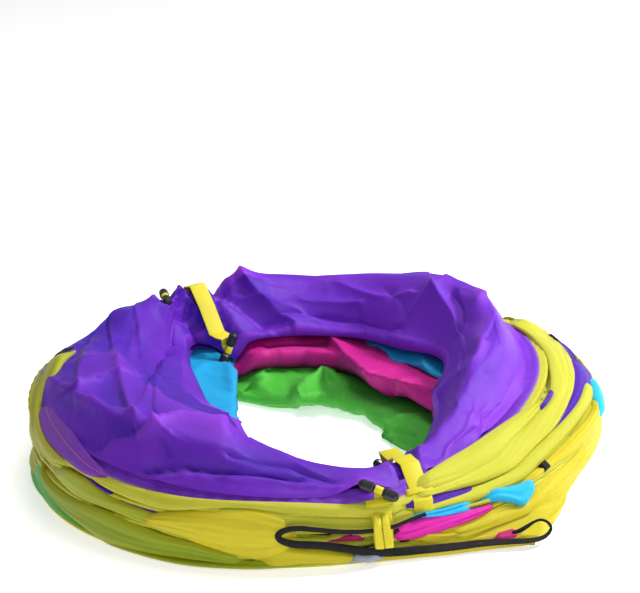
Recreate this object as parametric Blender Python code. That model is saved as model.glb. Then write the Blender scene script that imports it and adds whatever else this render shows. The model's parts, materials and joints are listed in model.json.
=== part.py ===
"""Pop-up crawl tunnel for children, collapsed flat into a ring and held by toggle ties.

A long steel spring runs round the tunnel. Each turn of it is a hoop here, sealed in its own sewn
tape casing, and a panel of thin cloth is folded inward between each hoop and the next. The ring
lies about the Z axis on the floor at z = 0, with its front towards -Y and its right towards +X.
"""
import math

import bmesh
import bpy
from mathutils import Matrix, Vector

# Driving sizes, in metres
HOOP_RADIUS = 0.2425
WIRE_DIAMETER = 0.0020
WIRE_CLEARANCE = 0.00056
TAPE_WALL = 0.0006
TAPE_DEPTH = 0.0180
TAPE_SLIT = 0.0010
LAYER_GAP = 0.0009
CLOTH = 0.0008
CLOTH_GAP = 0.0004
SEAT_GAP = 0.0003
FOOT_RISE = 0.00175
FOOT_FLAT = 0.0004
LEAD_IN = 0.0030
FOLD_RUN = 0.0240
CREASE_ROUND = 0.0060
FLOOR_CLEARANCE = 0.0012
BILLOW_HEIGHT = 0.112
BILLOW_REACH = 0.150
FAN_SPREAD = 0.050
ARCH_HEIGHT = 0.016
LOOSE_GAP = 0.0030

# Sizes of the ties
STRAP_WIDTH = 0.0160
NECK_WIDTH = 0.0066
STRAP_THICKNESS = 0.0009
TOGGLE_LENGTH = 0.0340
TOGGLE_DIAMETER = 0.0090
WAIST_DIAMETER = 0.0052
WAIST_LENGTH = 0.0078
TOGGLE_INSET = 0.0100
STRAP_FOOT = 0.0010
KEEPER_LENGTH = 0.0050
KEEPER_MARGIN = 0.0030
KEEPER_START = 0.0002
TOP_TIE_RUN = 0.0160
TOP_NECK_RUN = 0.0066
INNER_NECK_RUN = 0.0090

# Sizes of the window edge and the small sewn pieces
BINDING_WIDTH = 0.0065
BINDING_THICKNESS = 0.0020
WINDOW_LOW = 0.0195
WINDOW_HIGH = 0.0330
FACING_WIDTH = 0.0100
FACING_POCKET = 0.0100
FACING_THICKNESS = 0.0008
TAB_LENGTH = 0.0110
TAB_WIDTH = 0.0080
TAB_THICKNESS = 0.0012
TAB_SETBACK = 0.0010
TAB_GAP = 0.0007
RIBBON_WIDTH = 0.0220
RIBBON_REACH = 0.0060
RIBBON_THICKNESS = 0.0014
RIBBON_HEIGHT = 0.0024

# Counts and angles, in degrees, where 0 is the ring's right side and -90 its front
HOOPS = 7
STATIONS = 32
WIRE_SIDES = 5
TOGGLE_SIDES = 12
TOGGLE_END_TURNS = (75, 45, 15)
TAPE_TURNS = (90, 135, 180, 225, 270)
BORE_TURNS = (270, 210, 150, 90)
SHARP_ANGLE = 40.0
WINDOW_RUN_STEPS = 12
WINDOW_END_STEPS = 4
FRONT_LOWER_ANGLE = -79.5
FRONT_UPPER_ANGLE = -71.2
BACK_UPPER_ANGLE = 129.0
BACK_LOWER_ANGLE = 120.0
FRONT_LOWER_TURN = -33.0
FRONT_UPPER_TURN = 60.0
BACK_UPPER_TURN = 60.0
BACK_LOWER_TURN = 60.0
EYE_SWEEP = 250.0
EYE_STEPS = 7
INNER_TILT = math.radians(-90)
WINDOW_ANGLES = (-100.0, -37.0)
TAB_ANGLE = -28.0
RIBBON_ANGLE = -84.375
BAND_TILT = 42.0
TIE_HOOP = 4

# How the ring changes round its turn: shares of the sizes above at each of these angles
TABLE_ANGLES = (-165, -135, -110, -90, -75, -60, -35, -10, 20, 50, 80, 112, 125, 139, 158, 180)
TILT_SHARES = (1.0, 1.0, 1.0, 1.0, 1.0, 0.62, 0.26, 0.24, 0.26, 0.45, 0.9, 1.0, 1.0, 1.0, 1.0, 1.0)
SPREAD_SHARES = (0, 0, 0, 0, 0.02, 0.45, 0.95, 0.92, 0.72, 0.42, 0.12, 0, 0, 0, 0, 0)
INSET_SHARES = (0, 0, 0, 0.06, 0.30, 0.70, 1.0)
ARCH_SHARES = (0, 0, 0, 0, 0, 0.1, 0.45, 0.9, 1.0, 0.7, 0.2, 0, 0, 0, 0, 0)
LOOSE_SHARES = (0.8, 0.4, 0.12, 0, 0, 0, 0, 0.1, 0.2, 0.2, 0.1, 0, 0, 0, 0.9, 1.0)
HEIGHT_SHARES = (
    0.87, 0.80, 0.73, 0.64, 0.57, 0.62, 0.80, 0.88, 0.97, 0.96, 0.78, 0.82, 0.60, 0.98, 1.06, 0.95,
)
CREASE_SHARES = {
    "panel_green": (
        0.78, 0.65, 0.46, 0.35, 0.26, 0.29, 0.37, 0.63, 0.73, 0.74, 0.79, 0.74, 0.53, 0.62, 0.78, 0.85,
    ),
    "panel_yellow": (
        0.75, 0.62, 0.44, 0.31, 0.23, 0.23, 0.25, 0.42, 0.51, 0.48, 0.45, 0.44, 0.33, 0.46, 0.69, 0.77,
    ),
    "panel_magenta": (
        0.83, 0.67, 0.48, 0.35, 0.23, 0.26, 0.28, 0.45, 0.56, 0.64, 0.68, 0.65, 0.36, 0.53, 0.75, 0.85,
    ),
    "panel_cyan": (
        0.99, 0.75, 0.53, 0.38, 0.31, 0.34, 0.31, 0.48, 0.58, 0.68, 0.45, 0.40, 0.33, 0.61, 0.99, 1.07,
    ),
    "panel_purple_low": (
        0.94, 0.78, 0.56, 0.40, 0.26, 0.31, 0.33, 0.51, 0.60, 0.59, 0.46, 0.43, 0.30, 0.53, 0.83, 0.96,
    ),
    "panel_purple_top": (
        1.04, 0.86, 0.62, 0.43, 0.28, 0.36, 0.39, 0.58, 0.66, 0.65, 0.51, 0.48, 0.33, 0.57, 0.91, 1.06,
    ),
}
PANEL_NAMES = tuple(CREASE_SHARES)
INNER_STRAP_SHARES = (0.12, 0.26, 0.42, 0.62, 0.82, 0.97)
LEVEL_SHARES = (0.0, 0.11, 0.15, 0.22, 0.26, 0.39, 0.43, 0.52, 0.56, 0.64, 0.68, 0.96)
PILE_SHARE = 0.80
MITRE_LIMIT_SHARE = 1.6
POCKET_RUN_SHARE = 1 / 3
PILE_DROP_SHARE = 0.36
DOME_RISE_SHARE = 0.36
DOME_DROP_SHARE = 0.46
TOP_LEG_SHARES = (0.14, 0.28, 0.44, 0.62, 0.80)
RIDGE_ANGLES = (-150, -122, -28, 2, 22, 38, 56, 90, 112, 150, 168)
RIDGE_MIDDLE_SHARES = (0.42, 0.50, 0.46, 0.40, 0.42, 0.44, 0.46, 0.50, 0.30, 0.40, 0.50)
RIDGE_RISE_SHARES = (
    0.055, 0.060, 0.050, -0.050, 0.100, -0.070, 0.110, -0.060, 0.090, 0.050, -0.060,
)
RIDGE_SPREAD = 8.0
RIDGE_REACH_SHARE = 0.45

# Colours, roughness and metallic value of each material
FINISHES = {
    "spring_steel": ((0.42, 0.43, 0.45), 0.35, 1.0),
    "hem_purple": ((0.19, 0.035, 0.60), 0.45, 0.0),
    "tape_yellow": ((0.76, 0.68, 0.02), 0.50, 0.0),
    "cloth_green": ((0.055, 0.38, 0.055), 0.45, 0.0),
    "cloth_yellow": ((0.78, 0.70, 0.015), 0.45, 0.0),
    "cloth_magenta": ((0.60, 0.008, 0.26), 0.45, 0.0),
    "cloth_cyan": ((0.02, 0.48, 0.85), 0.45, 0.0),
    "cloth_purple": ((0.16, 0.025, 0.60), 0.45, 0.0),
    "strap_yellow": ((0.80, 0.68, 0.02), 0.55, 0.0),
    "binding_black": ((0.008, 0.008, 0.012), 0.65, 0.0),
    "toggle_black": ((0.010, 0.010, 0.013), 0.30, 0.0),
    "ribbon_grey": ((0.36, 0.39, 0.44), 0.35, 0.0),
}

WIRE_RADIUS = WIRE_DIAMETER / 2
BORE_RADIUS = WIRE_RADIUS + WIRE_CLEARANCE
TAPE_RADIUS = BORE_RADIUS + TAPE_WALL
SLIT_HALF = TAPE_SLIT / 2
SEAM_HALF = SLIT_HALF + TAPE_WALL
SEAM_OFFSET = CLOTH / 2 + CLOTH_GAP
WAIST_RADIUS = WAIST_DIAMETER / 2
TOGGLE_RADIUS = TOGGLE_DIAMETER / 2
WRAP_RADIUS = WAIST_RADIUS + SEAT_GAP + STRAP_THICKNESS / 2
STRAP_OFFSET = TAPE_RADIUS + SEAT_GAP + STRAP_THICKNESS / 2
TOGGLE_LIFT = STRAP_THICKNESS / 2 + SEAT_GAP + TOGGLE_RADIUS
TOGGLE_OFFSET = STRAP_OFFSET + STRAP_THICKNESS + SEAT_GAP + TOGGLE_LIFT
PANEL_TIP = 4


def clear_scene():
    for item in list(bpy.data.objects):
        bpy.data.objects.remove(item, do_unlink=True)


def smooth(share):
    share = min(1.0, max(0.0, share))
    return share * share * (3 - 2 * share)


def around(shares, angle):
    """A table's share at an angle, on a smooth closed curve through its entries."""
    count = len(TABLE_ANGLES)
    angle = (angle - TABLE_ANGLES[0]) % 360 + TABLE_ANGLES[0]
    low = max(i for i in range(count) if TABLE_ANGLES[i] <= angle)

    def entry(index):
        turn, place = divmod(index, count)
        return TABLE_ANGLES[place] + 360 * turn, shares[place]

    (a0, s0), (a1, s1), (a2, s2), (a3, s3) = (entry(low + step) for step in (-1, 0, 1, 2))
    span = a2 - a1
    slope1 = (s2 - s0) / (a2 - a0) * span
    slope2 = (s3 - s1) / (a3 - a1) * span
    t = (angle - a1) / span
    bend1 = (2 * t ** 3 - 3 * t ** 2 + 1) * s1 + (t ** 3 - 2 * t ** 2 + t) * slope1
    bend2 = (3 * t ** 2 - 2 * t ** 3) * s2 + (t ** 3 - t ** 2) * slope2
    return bend1 + bend2


def band_tilt(angle):
    return math.radians(BAND_TILT) * around(TILT_SHARES, angle)


def hoop_radius(hoop, angle):
    spread = max(0.0, around(SPREAD_SHARES, angle))
    return HOOP_RADIUS - FAN_SPREAD * spread * INSET_SHARES[hoop]


def hoop_height(hoop, angle):
    """Height of a hoop's wire: the hoops arch up at the right, and lie looser at the left."""
    tilt = band_tilt(angle)
    gap = LAYER_GAP + LOOSE_GAP * max(0.0, around(LOOSE_SHARES, angle))
    height = FOOT_RISE + ARCH_HEIGHT * max(0.0, around(ARCH_SHARES, angle))
    for below in range(hoop):
        shift = hoop_radius(below, angle) - hoop_radius(below + 1, angle)
        height += (2 * TAPE_RADIUS + gap) / math.cos(tilt) + shift * math.tan(tilt)
    return height


def on_band(hoop, angle, along, above):
    """A point of a casing's section: along its band from the wire to the seam, and above it."""
    tilt = band_tilt(angle)
    reach = hoop_radius(hoop, angle) - along * math.cos(tilt) + above * math.sin(tilt)
    return reach, hoop_height(hoop, angle) + along * math.sin(tilt) + above * math.cos(tilt)


def seam_reach(hoop, angle):
    return on_band(hoop, angle, TAPE_DEPTH, 0)[0]


def station_angle(station):
    return 360 * station / STATIONS


def place(angle, reach, height, across=0):
    """The point at a radius and height, moved sideways along the ring by a length."""
    turn = math.radians(angle)
    x = reach * math.cos(turn) - across * math.sin(turn)
    y = reach * math.sin(turn) + across * math.cos(turn)
    return x, y, height


def make_material(name):
    colour, roughness, metallic = FINISHES[name]
    material = bpy.data.materials.new(name)
    material.use_nodes = True
    shader = material.node_tree.nodes["Principled BSDF"]
    shader.inputs["Base Color"].default_value = (*colour, 1)
    shader.inputs["Roughness"].default_value = roughness
    shader.inputs["Metallic"].default_value = metallic
    material.diffuse_color = (*colour, 1)
    return material


def add_object(name, points, faces, finish, origin=(0, 0, 0)):
    """A smooth-shaded object whose origin lies at the given point."""
    local = [tuple(value - start for value, start in zip(point, origin)) for point in points]
    mesh = bpy.data.meshes.new(name)
    mesh.from_pydata(local, [], faces)
    shape = bmesh.new()
    shape.from_mesh(mesh)
    bmesh.ops.recalc_face_normals(shape, faces=shape.faces)
    shape.to_mesh(mesh)
    shape.free()
    mesh.shade_smooth()
    mesh.set_sharp_from_angle(angle=math.radians(SHARP_ANGLE))
    mesh.materials.append(MATERIALS[finish])
    item = bpy.data.objects.new(name, mesh)
    item.location = origin
    bpy.context.collection.objects.link(item)
    return item


def loft(sections, closed):
    """Points and faces of a body that runs through sections of equal length."""
    size = len(sections[0])
    points = [point for section in sections for point in section]
    faces = []
    runs = len(sections) if closed else len(sections) - 1
    for run in range(runs):
        here = run * size
        there = (run + 1) % len(sections) * size
        for side in range(size):
            after = (side + 1) % size
            faces.append((here + side, there + side, there + after, here + after))
    if not closed:
        last = (len(sections) - 1) * size
        faces.append(tuple(range(size)))
        faces.append(tuple(last + side for side in reversed(range(size))))
    return points, faces


def ring_body(name, section_at, finish):
    """A closed ring lofted through a section of (reach, height) points at each station.

    Each facet pair is split from its inner corner to the next station's outer corner, so that
    faces that lie against each other are split alike and keep an even gap.
    """
    sections = [section_at(station_angle(station)) for station in range(STATIONS)]
    size = len(sections[0])
    points = []
    faces = []
    for station, section in enumerate(sections):
        angle = station_angle(station)
        points += [place(angle, reach, height) for reach, height in section]
        here = station * size
        there = (station + 1) % STATIONS * size
        for side in range(size):
            after = (side + 1) % size
            corners = [here + side, there + side, there + after, here + after]
            if section[side][0] > section[after][0]:
                corners = corners[1:] + corners[:1]
            faces.append((corners[0], corners[1], corners[2]))
            faces.append((corners[0], corners[2], corners[3]))
    return add_object(name, points, faces, finish)


def thicken(line, thickness):
    """The closed outline of a sheet of even thickness along a line of (reach, height) points."""
    left = []
    right = []
    last = len(line) - 1
    for index, (reach, height) in enumerate(line):
        before = line[max(0, index - 1)]
        after = line[min(last, index + 1)]
        into = (reach - before[0], height - before[1])
        out = (after[0] - reach, after[1] - height)
        into_size = math.hypot(*into) or 1
        out_size = math.hypot(*out) or 1
        normal_in = (-into[1] / into_size, into[0] / into_size) if index else None
        normal_out = (-out[1] / out_size, out[0] / out_size) if index < last else None
        normal_in = normal_in or normal_out
        normal_out = normal_out or normal_in
        normal = (normal_in[0] + normal_out[0], normal_in[1] + normal_out[1])
        size = math.hypot(*normal)
        normal = (normal[0] / size, normal[1] / size)
        widen = min(MITRE_LIMIT_SHARE, 2 / size)
        half = thickness / 2 * widen
        left.append((reach + normal[0] * half, height + normal[1] * half))
        right.append((reach - normal[0] * half, height - normal[1] * half))
    return left + right[::-1]


def wire_section(hoop, angle):
    reach = hoop_radius(hoop, angle)
    height = hoop_height(hoop, angle)
    steps = [2 * math.pi * side / WIRE_SIDES for side in range(WIRE_SIDES)]
    return [(reach + WIRE_RADIUS * math.cos(s), height - WIRE_RADIUS * math.sin(s)) for s in steps]


def casing_section(hoop, angle):
    """A tape folded round the wire: two leaves that close towards the seam, with a slit between."""
    outline = [(TAPE_DEPTH, SEAM_HALF)]
    for step in TAPE_TURNS:
        turn = math.radians(step)
        outline.append((TAPE_RADIUS * math.cos(turn), TAPE_RADIUS * math.sin(turn)))
    outline.append((TAPE_DEPTH, -SEAM_HALF))
    outline.append((TAPE_DEPTH, -SLIT_HALF))
    for step in BORE_TURNS:
        turn = math.radians(step)
        outline.append((BORE_RADIUS * math.cos(turn), BORE_RADIUS * math.sin(turn)))
    outline.append((TAPE_DEPTH, SLIT_HALF))
    section = [on_band(hoop, angle, along, above) for along, above in outline]
    if hoop == 0:
        section = [(reach, 0.0 if height < FOOT_FLAT else height) for reach, height in section]
    return section


def pile_start(angle):
    """Radius where the innermost seam ends and the folded cloth takes over."""
    return min(seam_reach(hoop, angle) for hoop in range(HOOPS))


def crease_reach(panel, angle):
    return pile_start(angle) - BILLOW_REACH * around(CREASE_SHARES[PANEL_NAMES[panel]], angle)


def pile_height(reach, angle):
    """Height of the folded pile under the top billow, which falls evenly towards the hole."""
    inward = pile_start(angle) - FOLD_RUN - reach
    share = PILE_SHARE - PILE_DROP_SHARE * inward / BILLOW_REACH
    return BILLOW_HEIGHT * around(HEIGHT_SHARES, angle) * share


def ridge_share(angle, inward):
    total = 0.0
    for centre, middle, rise in zip(RIDGE_ANGLES, RIDGE_MIDDLE_SHARES, RIDGE_RISE_SHARES):
        turn = (angle - centre + 180) % 360 - 180
        across = math.exp(-(turn / RIDGE_SPREAD) ** 2)
        total += rise * across * math.exp(-((inward - middle) / RIDGE_REACH_SHARE) ** 2)
    return total


def dome_height(reach, angle):
    """Height of the top cloth: it billows up from the hem and falls to its crease."""
    start = pile_start(angle)
    end = crease_reach(HOOPS - 2, angle)
    inward = (start - reach) / (start - end)
    fall = DOME_DROP_SHARE * smooth((inward - DOME_RISE_SHARE) / (1 - DOME_RISE_SHARE))
    share = around(HEIGHT_SHARES, angle) * (1 - fall + ridge_share(angle, inward))
    return BILLOW_HEIGHT * share


def level_height(level, reach, angle):
    """Height of one of the cloth layers, two to a panel, counted up from the floor."""
    hoop = (level + 1) // 2
    side = 1 if level % 2 == 0 else -1
    tilt = band_tilt(angle)
    seam = on_band(hoop, angle, TAPE_DEPTH, side * SEAM_OFFSET)
    outer = seam[1] + (seam[0] - reach) * math.tan(tilt)
    inward = pile_start(angle) - reach
    top = level == len(LEVEL_SHARES) - 1
    pile = dome_height(reach, angle) if top else pile_height(reach, angle)
    inner = FLOOR_CLEARANCE + (pile - FLOOR_CLEARANCE) * LEVEL_SHARES[level]
    blend = smooth(inward / FOLD_RUN)
    return outer + (inner - outer) * blend


def panel_line(panel, angle):
    """The folded panel's section: in along its lower leg, round the crease and back out."""
    crease = crease_reach(panel, angle)
    start = pile_start(angle)
    turn_in = crease + CREASE_ROUND
    legs = []
    for level in (2 * panel, 2 * panel + 1):
        hoop = (level + 1) // 2
        side = 1 if level % 2 == 0 else -1
        seam = on_band(hoop, angle, TAPE_DEPTH + SEAT_GAP, side * SEAM_OFFSET)
        reaches = [min(start, seam_reach(hoop, angle) - LEAD_IN), start - FOLD_RUN]
        if level == len(LEVEL_SHARES) - 1:
            reaches = [reaches[0]]
            reaches += [start - share * (start - turn_in) for share in TOP_LEG_SHARES]
        reaches.append(turn_in)
        legs.append([seam] + [(reach, level_height(level, reach, angle)) for reach in reaches])
    lower, upper = legs
    tip = (crease, (lower[-1][1] + upper[-1][1]) / 2)
    return lower + [tip] + upper[::-1]


def panel_section(panel, angle):
    return thicken(panel_line(panel, angle), CLOTH)


def outer_reach(angle):
    """How far out the stacked casings reach, at the corners of their facets."""
    return max(hoop_radius(hoop, angle) for hoop in range(TIE_HOOP)) + TAPE_RADIUS


def beside(angle):
    """An angle and the two stations that it lies between."""
    low = math.floor(angle / station_angle(1))
    return angle, station_angle(low), station_angle(low + 1)


def cloth_top(reach, angle):
    """Top of the uppermost cloth at a radius, clear of its facets on both sides of an angle."""
    top = len(LEVEL_SHARES) - 1
    return max(level_height(top, reach, turn) for turn in beside(angle)) + CLOTH


def inner_face(angle):
    """Radius of the inner face of the upper two panels beside an angle."""
    panels = (HOOPS - 2, HOOPS - 3)
    return min(crease_reach(panel, turn) for panel in panels for turn in beside(angle)) - CLOTH


def crease_height(angle):
    """Height of the uppermost panel's crease, at its higher side beside an angle."""
    lines = [panel_line(HOOPS - 2, turn) for turn in beside(angle)]
    return max(line[PANEL_TIP][1] for line in lines)


def spin(points, centre, axis, turn):
    """Points turned about an axis through a centre."""
    rotation = Matrix.Rotation(math.radians(turn), 3, Vector(axis))
    middle = Vector(centre)
    return [tuple(rotation @ (Vector(point) - middle) + middle) for point in points]


def strap(name, angle, line, widths, origin, eye, spot, axis, turn):
    """A flat strap along a line of (reach, height) points, whose eye is turned with its toggle."""
    outline = thicken(line + eye, STRAP_THICKNESS)
    count = len(line) + len(eye)
    sections = []
    for index, width in enumerate(widths):
        left = outline[index]
        right = outline[2 * count - 1 - index]
        half = width / 2
        corners = ((left, -half), (left, half), (right, half), (right, -half))
        section = [place(angle, corner[0], corner[1], across) for corner, across in corners]
        if index >= len(line):
            section = spin(section, spot, axis, turn)
        sections.append(section)
    points, faces = loft(sections, False)
    return add_object(name, points, faces, "strap_yellow", origin)


def eye_points(centre, tilt, start, sweep, steps):
    """Points round a toggle's waist, by angle in the tilted plane of what it lies on."""
    points = []
    for step in range(steps + 1):
        turn = math.radians(start + sweep * step / steps)
        along = WRAP_RADIUS * math.cos(turn)
        above = WRAP_RADIUS * math.sin(turn)
        reach = centre[0] - along * math.cos(tilt) + above * math.sin(tilt)
        points.append((reach, centre[1] + along * math.sin(tilt) + above * math.cos(tilt)))
    return points


def toggle(name, angle, centre, axis, turn):
    """A turned bar with rounded ends and a waist, along the ring and then turned about its neck."""
    half = TOGGLE_LENGTH / 2
    waist_half = WAIST_LENGTH / 2
    step = TOGGLE_RADIUS - WAIST_RADIUS
    profile = []
    for rise in TOGGLE_END_TURNS:
        bend = math.radians(rise)
        across = half - TOGGLE_RADIUS + TOGGLE_RADIUS * math.sin(bend)
        profile.append((across, TOGGLE_RADIUS * math.cos(bend)))
    profile.append((waist_half + step, TOGGLE_RADIUS))
    profile.append((waist_half, WAIST_RADIUS))
    profile += [(-across, radius) for across, radius in reversed(profile)]
    spot = place(angle, *centre)
    sections = []
    for across, radius in profile:
        ring = []
        for side in range(TOGGLE_SIDES):
            sweep = 2 * math.pi * side / TOGGLE_SIDES
            reach = centre[0] + radius * math.cos(sweep)
            ring.append(place(angle, reach, centre[1] + radius * math.sin(sweep), across))
        sections.append(spin(ring, spot, axis, turn))
    points, faces = loft(sections, False)
    return add_object(name, points, faces, "toggle_black", spot)


def keeper(name, angle):
    """A flat loop sewn over the top hem, which the strap passes under."""
    inner_half = STRAP_WIDTH / 2 + SEAT_GAP
    outer_half = inner_half + KEEPER_MARGIN
    low = TAPE_RADIUS + SEAT_GAP
    under = low + STRAP_THICKNESS + SEAT_GAP
    top = under + STRAP_THICKNESS
    outline = ((-outer_half, low), (-outer_half, low + STRAP_THICKNESS),
               (-inner_half - STRAP_THICKNESS, top), (inner_half + STRAP_THICKNESS, top),
               (outer_half, low + STRAP_THICKNESS), (outer_half, low),
               (inner_half, low), (inner_half - SEAT_GAP, under),
               (SEAT_GAP - inner_half, under), (-inner_half, low))
    sections = []
    for along in (KEEPER_START, KEEPER_START + KEEPER_LENGTH):
        ring = []
        for across, above in outline:
            reach, height = on_band(HOOPS - 1, angle, along, above)
            ring.append(place(angle, reach, height, across))
        sections.append(ring)
    points, faces = loft(sections, False)
    return add_object(name, points, faces, "strap_yellow")


def add_tie(side, angle, line, neck, centre, tilt, start, turn):
    """A tie's strap, toggle and keeper: the strap narrows to a neck for its last few points."""
    origin = place(angle, *line[0])
    spot = place(angle, *centre)
    axis = [end - base for end, base in zip(place(angle, math.sin(tilt), math.cos(tilt)), (0, 0, 0))]
    eye = eye_points(centre, tilt, start, EYE_SWEEP, EYE_STEPS)
    widths = [STRAP_WIDTH] * (len(line) - neck) + [NECK_WIDTH] * (neck + len(eye))
    strap(side + "_tie_strap", angle, line, widths, origin, eye, spot, axis, turn)
    toggle(side + "_toggle", angle, centre, axis, turn)
    keeper(side + "_tie_keeper", angle)


def outer_tie(side, angle, bulge, turn):
    """A strap from the bottom hoop up the outside, with its toggle on the top hem."""
    top = HOOPS - 1
    foot = outer_reach(angle) + SEAT_GAP + STRAP_THICKNESS / 2
    centre = on_band(top, angle, TOGGLE_INSET, TOGGLE_OFFSET)
    rise = WINDOW_LOW - BINDING_WIDTH
    line = [(foot, STRAP_FOOT), (foot, rise - bulge), (foot + bulge, rise)]
    line.append((foot + bulge, hoop_height(top - 1, angle)))
    line.append(on_band(top, angle, 0, STRAP_OFFSET))
    line.append(on_band(top, angle, TOGGLE_INSET - WRAP_RADIUS, STRAP_OFFSET))
    add_tie(side, angle, line, 1, centre, band_tilt(angle), -90, turn)


def over_hem(angle):
    """A strap's points from an upper hoop, up the outside and over the top hem to its seam."""
    top = HOOPS - 1
    foot = hoop_radius(TIE_HOOP, angle) + STRAP_OFFSET
    line = [(foot, hoop_height(TIE_HOOP, angle)), (foot, hoop_height(top, angle) - TAPE_RADIUS)]
    line.append(on_band(top, angle, 0, STRAP_OFFSET))
    line.append(on_band(top, angle, KEEPER_START + KEEPER_LENGTH, STRAP_OFFSET))
    line.append(on_band(top, angle, TAPE_DEPTH, STRAP_OFFSET))
    return line


def top_tie(side, angle, turn):
    """A strap from an upper hoop over the hem, with its toggle lying on the cloth inside it."""
    line = over_hem(angle)
    lift = SEAT_GAP + STRAP_THICKNESS / 2
    reach = line[-1][0] - TOP_TIE_RUN
    height = max(cloth_top(reach, angle) + lift, line[-1][1])
    line.append((reach, height))
    centre = (reach - WRAP_RADIUS - TOP_NECK_RUN, height + TOGGLE_LIFT)
    line.append((centre[0] + WRAP_RADIUS, height))
    add_tie(side, angle, line, 2, centre, 0, -90, turn)


def inner_tie(side, angle, turn):
    """A strap from an upper hoop over the hem and down the bundle's inner side to its toggle."""
    line = over_hem(angle)
    seam = line[-1][0]
    inner = inner_face(angle) - SEAT_GAP - STRAP_THICKNESS / 2
    lift = SEAT_GAP + STRAP_THICKNESS
    for share in INNER_STRAP_SHARES:
        reach = seam + (inner - seam) * share
        line.append((reach, max(cloth_top(reach, angle) + lift, line[4][1])))
    centre = (inner - TOGGLE_LIFT, crease_height(angle))
    line.append((inner, centre[1] + INNER_NECK_RUN))
    line.append((inner, centre[1] + WRAP_RADIUS))
    add_tie(side, angle, line, 2, centre, INNER_TILT, -90, turn)


def window_route():
    """Angles and heights round the flattened window, once round, with the turn it faces."""
    low_turn, high_turn = WINDOW_ANGLES
    middle = (WINDOW_HIGH + WINDOW_LOW) / 2
    half = (WINDOW_HIGH - WINDOW_LOW) / 2
    route = []
    for step in range(WINDOW_RUN_STEPS + 1):
        route.append((low_turn + (high_turn - low_turn) * step / WINDOW_RUN_STEPS, WINDOW_LOW, -90))
    for step in range(1, WINDOW_END_STEPS):
        face = -90 + 180 * step / WINDOW_END_STEPS
        route.append((high_turn, middle + half * math.sin(math.radians(face)), face))
    for step in range(WINDOW_RUN_STEPS + 1):
        route.append((high_turn + (low_turn - high_turn) * step / WINDOW_RUN_STEPS, WINDOW_HIGH, 90))
    for step in range(1, WINDOW_END_STEPS):
        face = 90 + 180 * step / WINDOW_END_STEPS
        route.append((low_turn, middle + half * math.sin(math.radians(face)), face))
    return route


def window_band(name, near, far, far_pocket, thickness, finish):
    """A closed flat band round the window, between two distances from its opening's edge."""
    radius = HOOP_RADIUS + TAPE_RADIUS + SEAT_GAP
    half = (WINDOW_HIGH - WINDOW_LOW) / 2
    low_turn, high_turn = WINDOW_ANGLES
    sections = []
    for angle, height, face in window_route():
        aside = math.cos(math.radians(face))
        rise = math.sin(math.radians(face))
        share = smooth((angle - low_turn) / (high_turn - low_turn) / POCKET_RUN_SHARE)
        reach_far = far_pocket + (far - far_pocket) * share
        section = []
        outline = ((0, near), (thickness, near), (thickness, reach_far), (0, reach_far))
        for depth, distance in outline:
            spot = height + distance * rise
            turn = angle + math.degrees((half * aside + distance * aside) / radius)
            section.append(place(turn, radius + depth, spot))
        sections.append(section)
    points, faces = loft(sections, True)
    return add_object(name, points, faces, finish)


def flat_piece(name, angle, corners, half_width, finish):
    """A small flat piece whose outline of (reach, height) points runs along the ring's turn."""
    sections = []
    for across in (half_width, -half_width):
        sections.append([place(angle, reach, height, across) for reach, height in corners])
    points, faces = loft(sections, False)
    return add_object(name, points, faces, finish)


def side_tab():
    low = TAPE_RADIUS + TAB_GAP
    high = low + TAB_THICKNESS
    outline = ((TAB_SETBACK, low), (TAB_SETBACK, high),
               (TAB_SETBACK + TAB_LENGTH, high), (TAB_SETBACK + TAB_LENGTH, low))
    corners = [on_band(TIE_HOOP, TAB_ANGLE, along, above) for along, above in outline]
    return flat_piece("side_tab", TAB_ANGLE, corners, TAB_WIDTH / 2, "binding_black")


def sewn_ribbon():
    start = (HOOP_RADIUS + TAPE_RADIUS) * math.cos(math.pi / STATIONS) + SEAT_GAP
    low = RIBBON_HEIGHT
    high = RIBBON_HEIGHT + RIBBON_THICKNESS
    end = start + RIBBON_REACH
    corners = ((start, low), (start, high), (end, high - RIBBON_THICKNESS / 2), (end, low))
    return flat_piece("sewn_ribbon", RIBBON_ANGLE, corners, RIBBON_WIDTH / 2, "ribbon_grey")


def build():
    panel_finishes = ("cloth_green", "cloth_yellow", "cloth_magenta",
                      "cloth_cyan", "cloth_purple", "cloth_purple")
    for hoop in range(HOOPS):
        ring_body(f"spring_turn_{hoop}", lambda angle, k=hoop: wire_section(k, angle), "spring_steel")
        finish = "hem_purple" if hoop == HOOPS - 1 else "tape_yellow"
        ring_body(f"casing_{hoop}", lambda angle, k=hoop: casing_section(k, angle), finish)
    for panel, name in enumerate(PANEL_NAMES):
        ring_body(name, lambda angle, k=panel: panel_section(k, angle), panel_finishes[panel])
    outer_tie("front_lower", FRONT_LOWER_ANGLE, BINDING_THICKNESS + 2 * SEAT_GAP, FRONT_LOWER_TURN)
    inner_tie("front_upper", FRONT_UPPER_ANGLE, FRONT_UPPER_TURN)
    top_tie("back_upper", BACK_UPPER_ANGLE, BACK_UPPER_TURN)
    inner_tie("back_lower", BACK_LOWER_ANGLE, BACK_LOWER_TURN)
    edge = BINDING_WIDTH / 2
    window_band("window_binding", -edge, edge, edge, BINDING_THICKNESS, "binding_black")
    rim = edge + SEAT_GAP
    far = rim + FACING_WIDTH - BINDING_WIDTH
    window_band("window_facing", rim, far, far + FACING_POCKET, FACING_THICKNESS, "cloth_yellow")
    side_tab()
    sewn_ribbon()


clear_scene()
MATERIALS = {name: make_material(name) for name in FINISHES}
build()
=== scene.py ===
"""Visual model of a pop-up crawl tunnel, collapsed flat and tied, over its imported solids."""
import json
import math

import bmesh
import bpy
import numpy as np
from mathutils import Matrix, Vector
from mathutils.bvhtree import BVHTree

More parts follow.
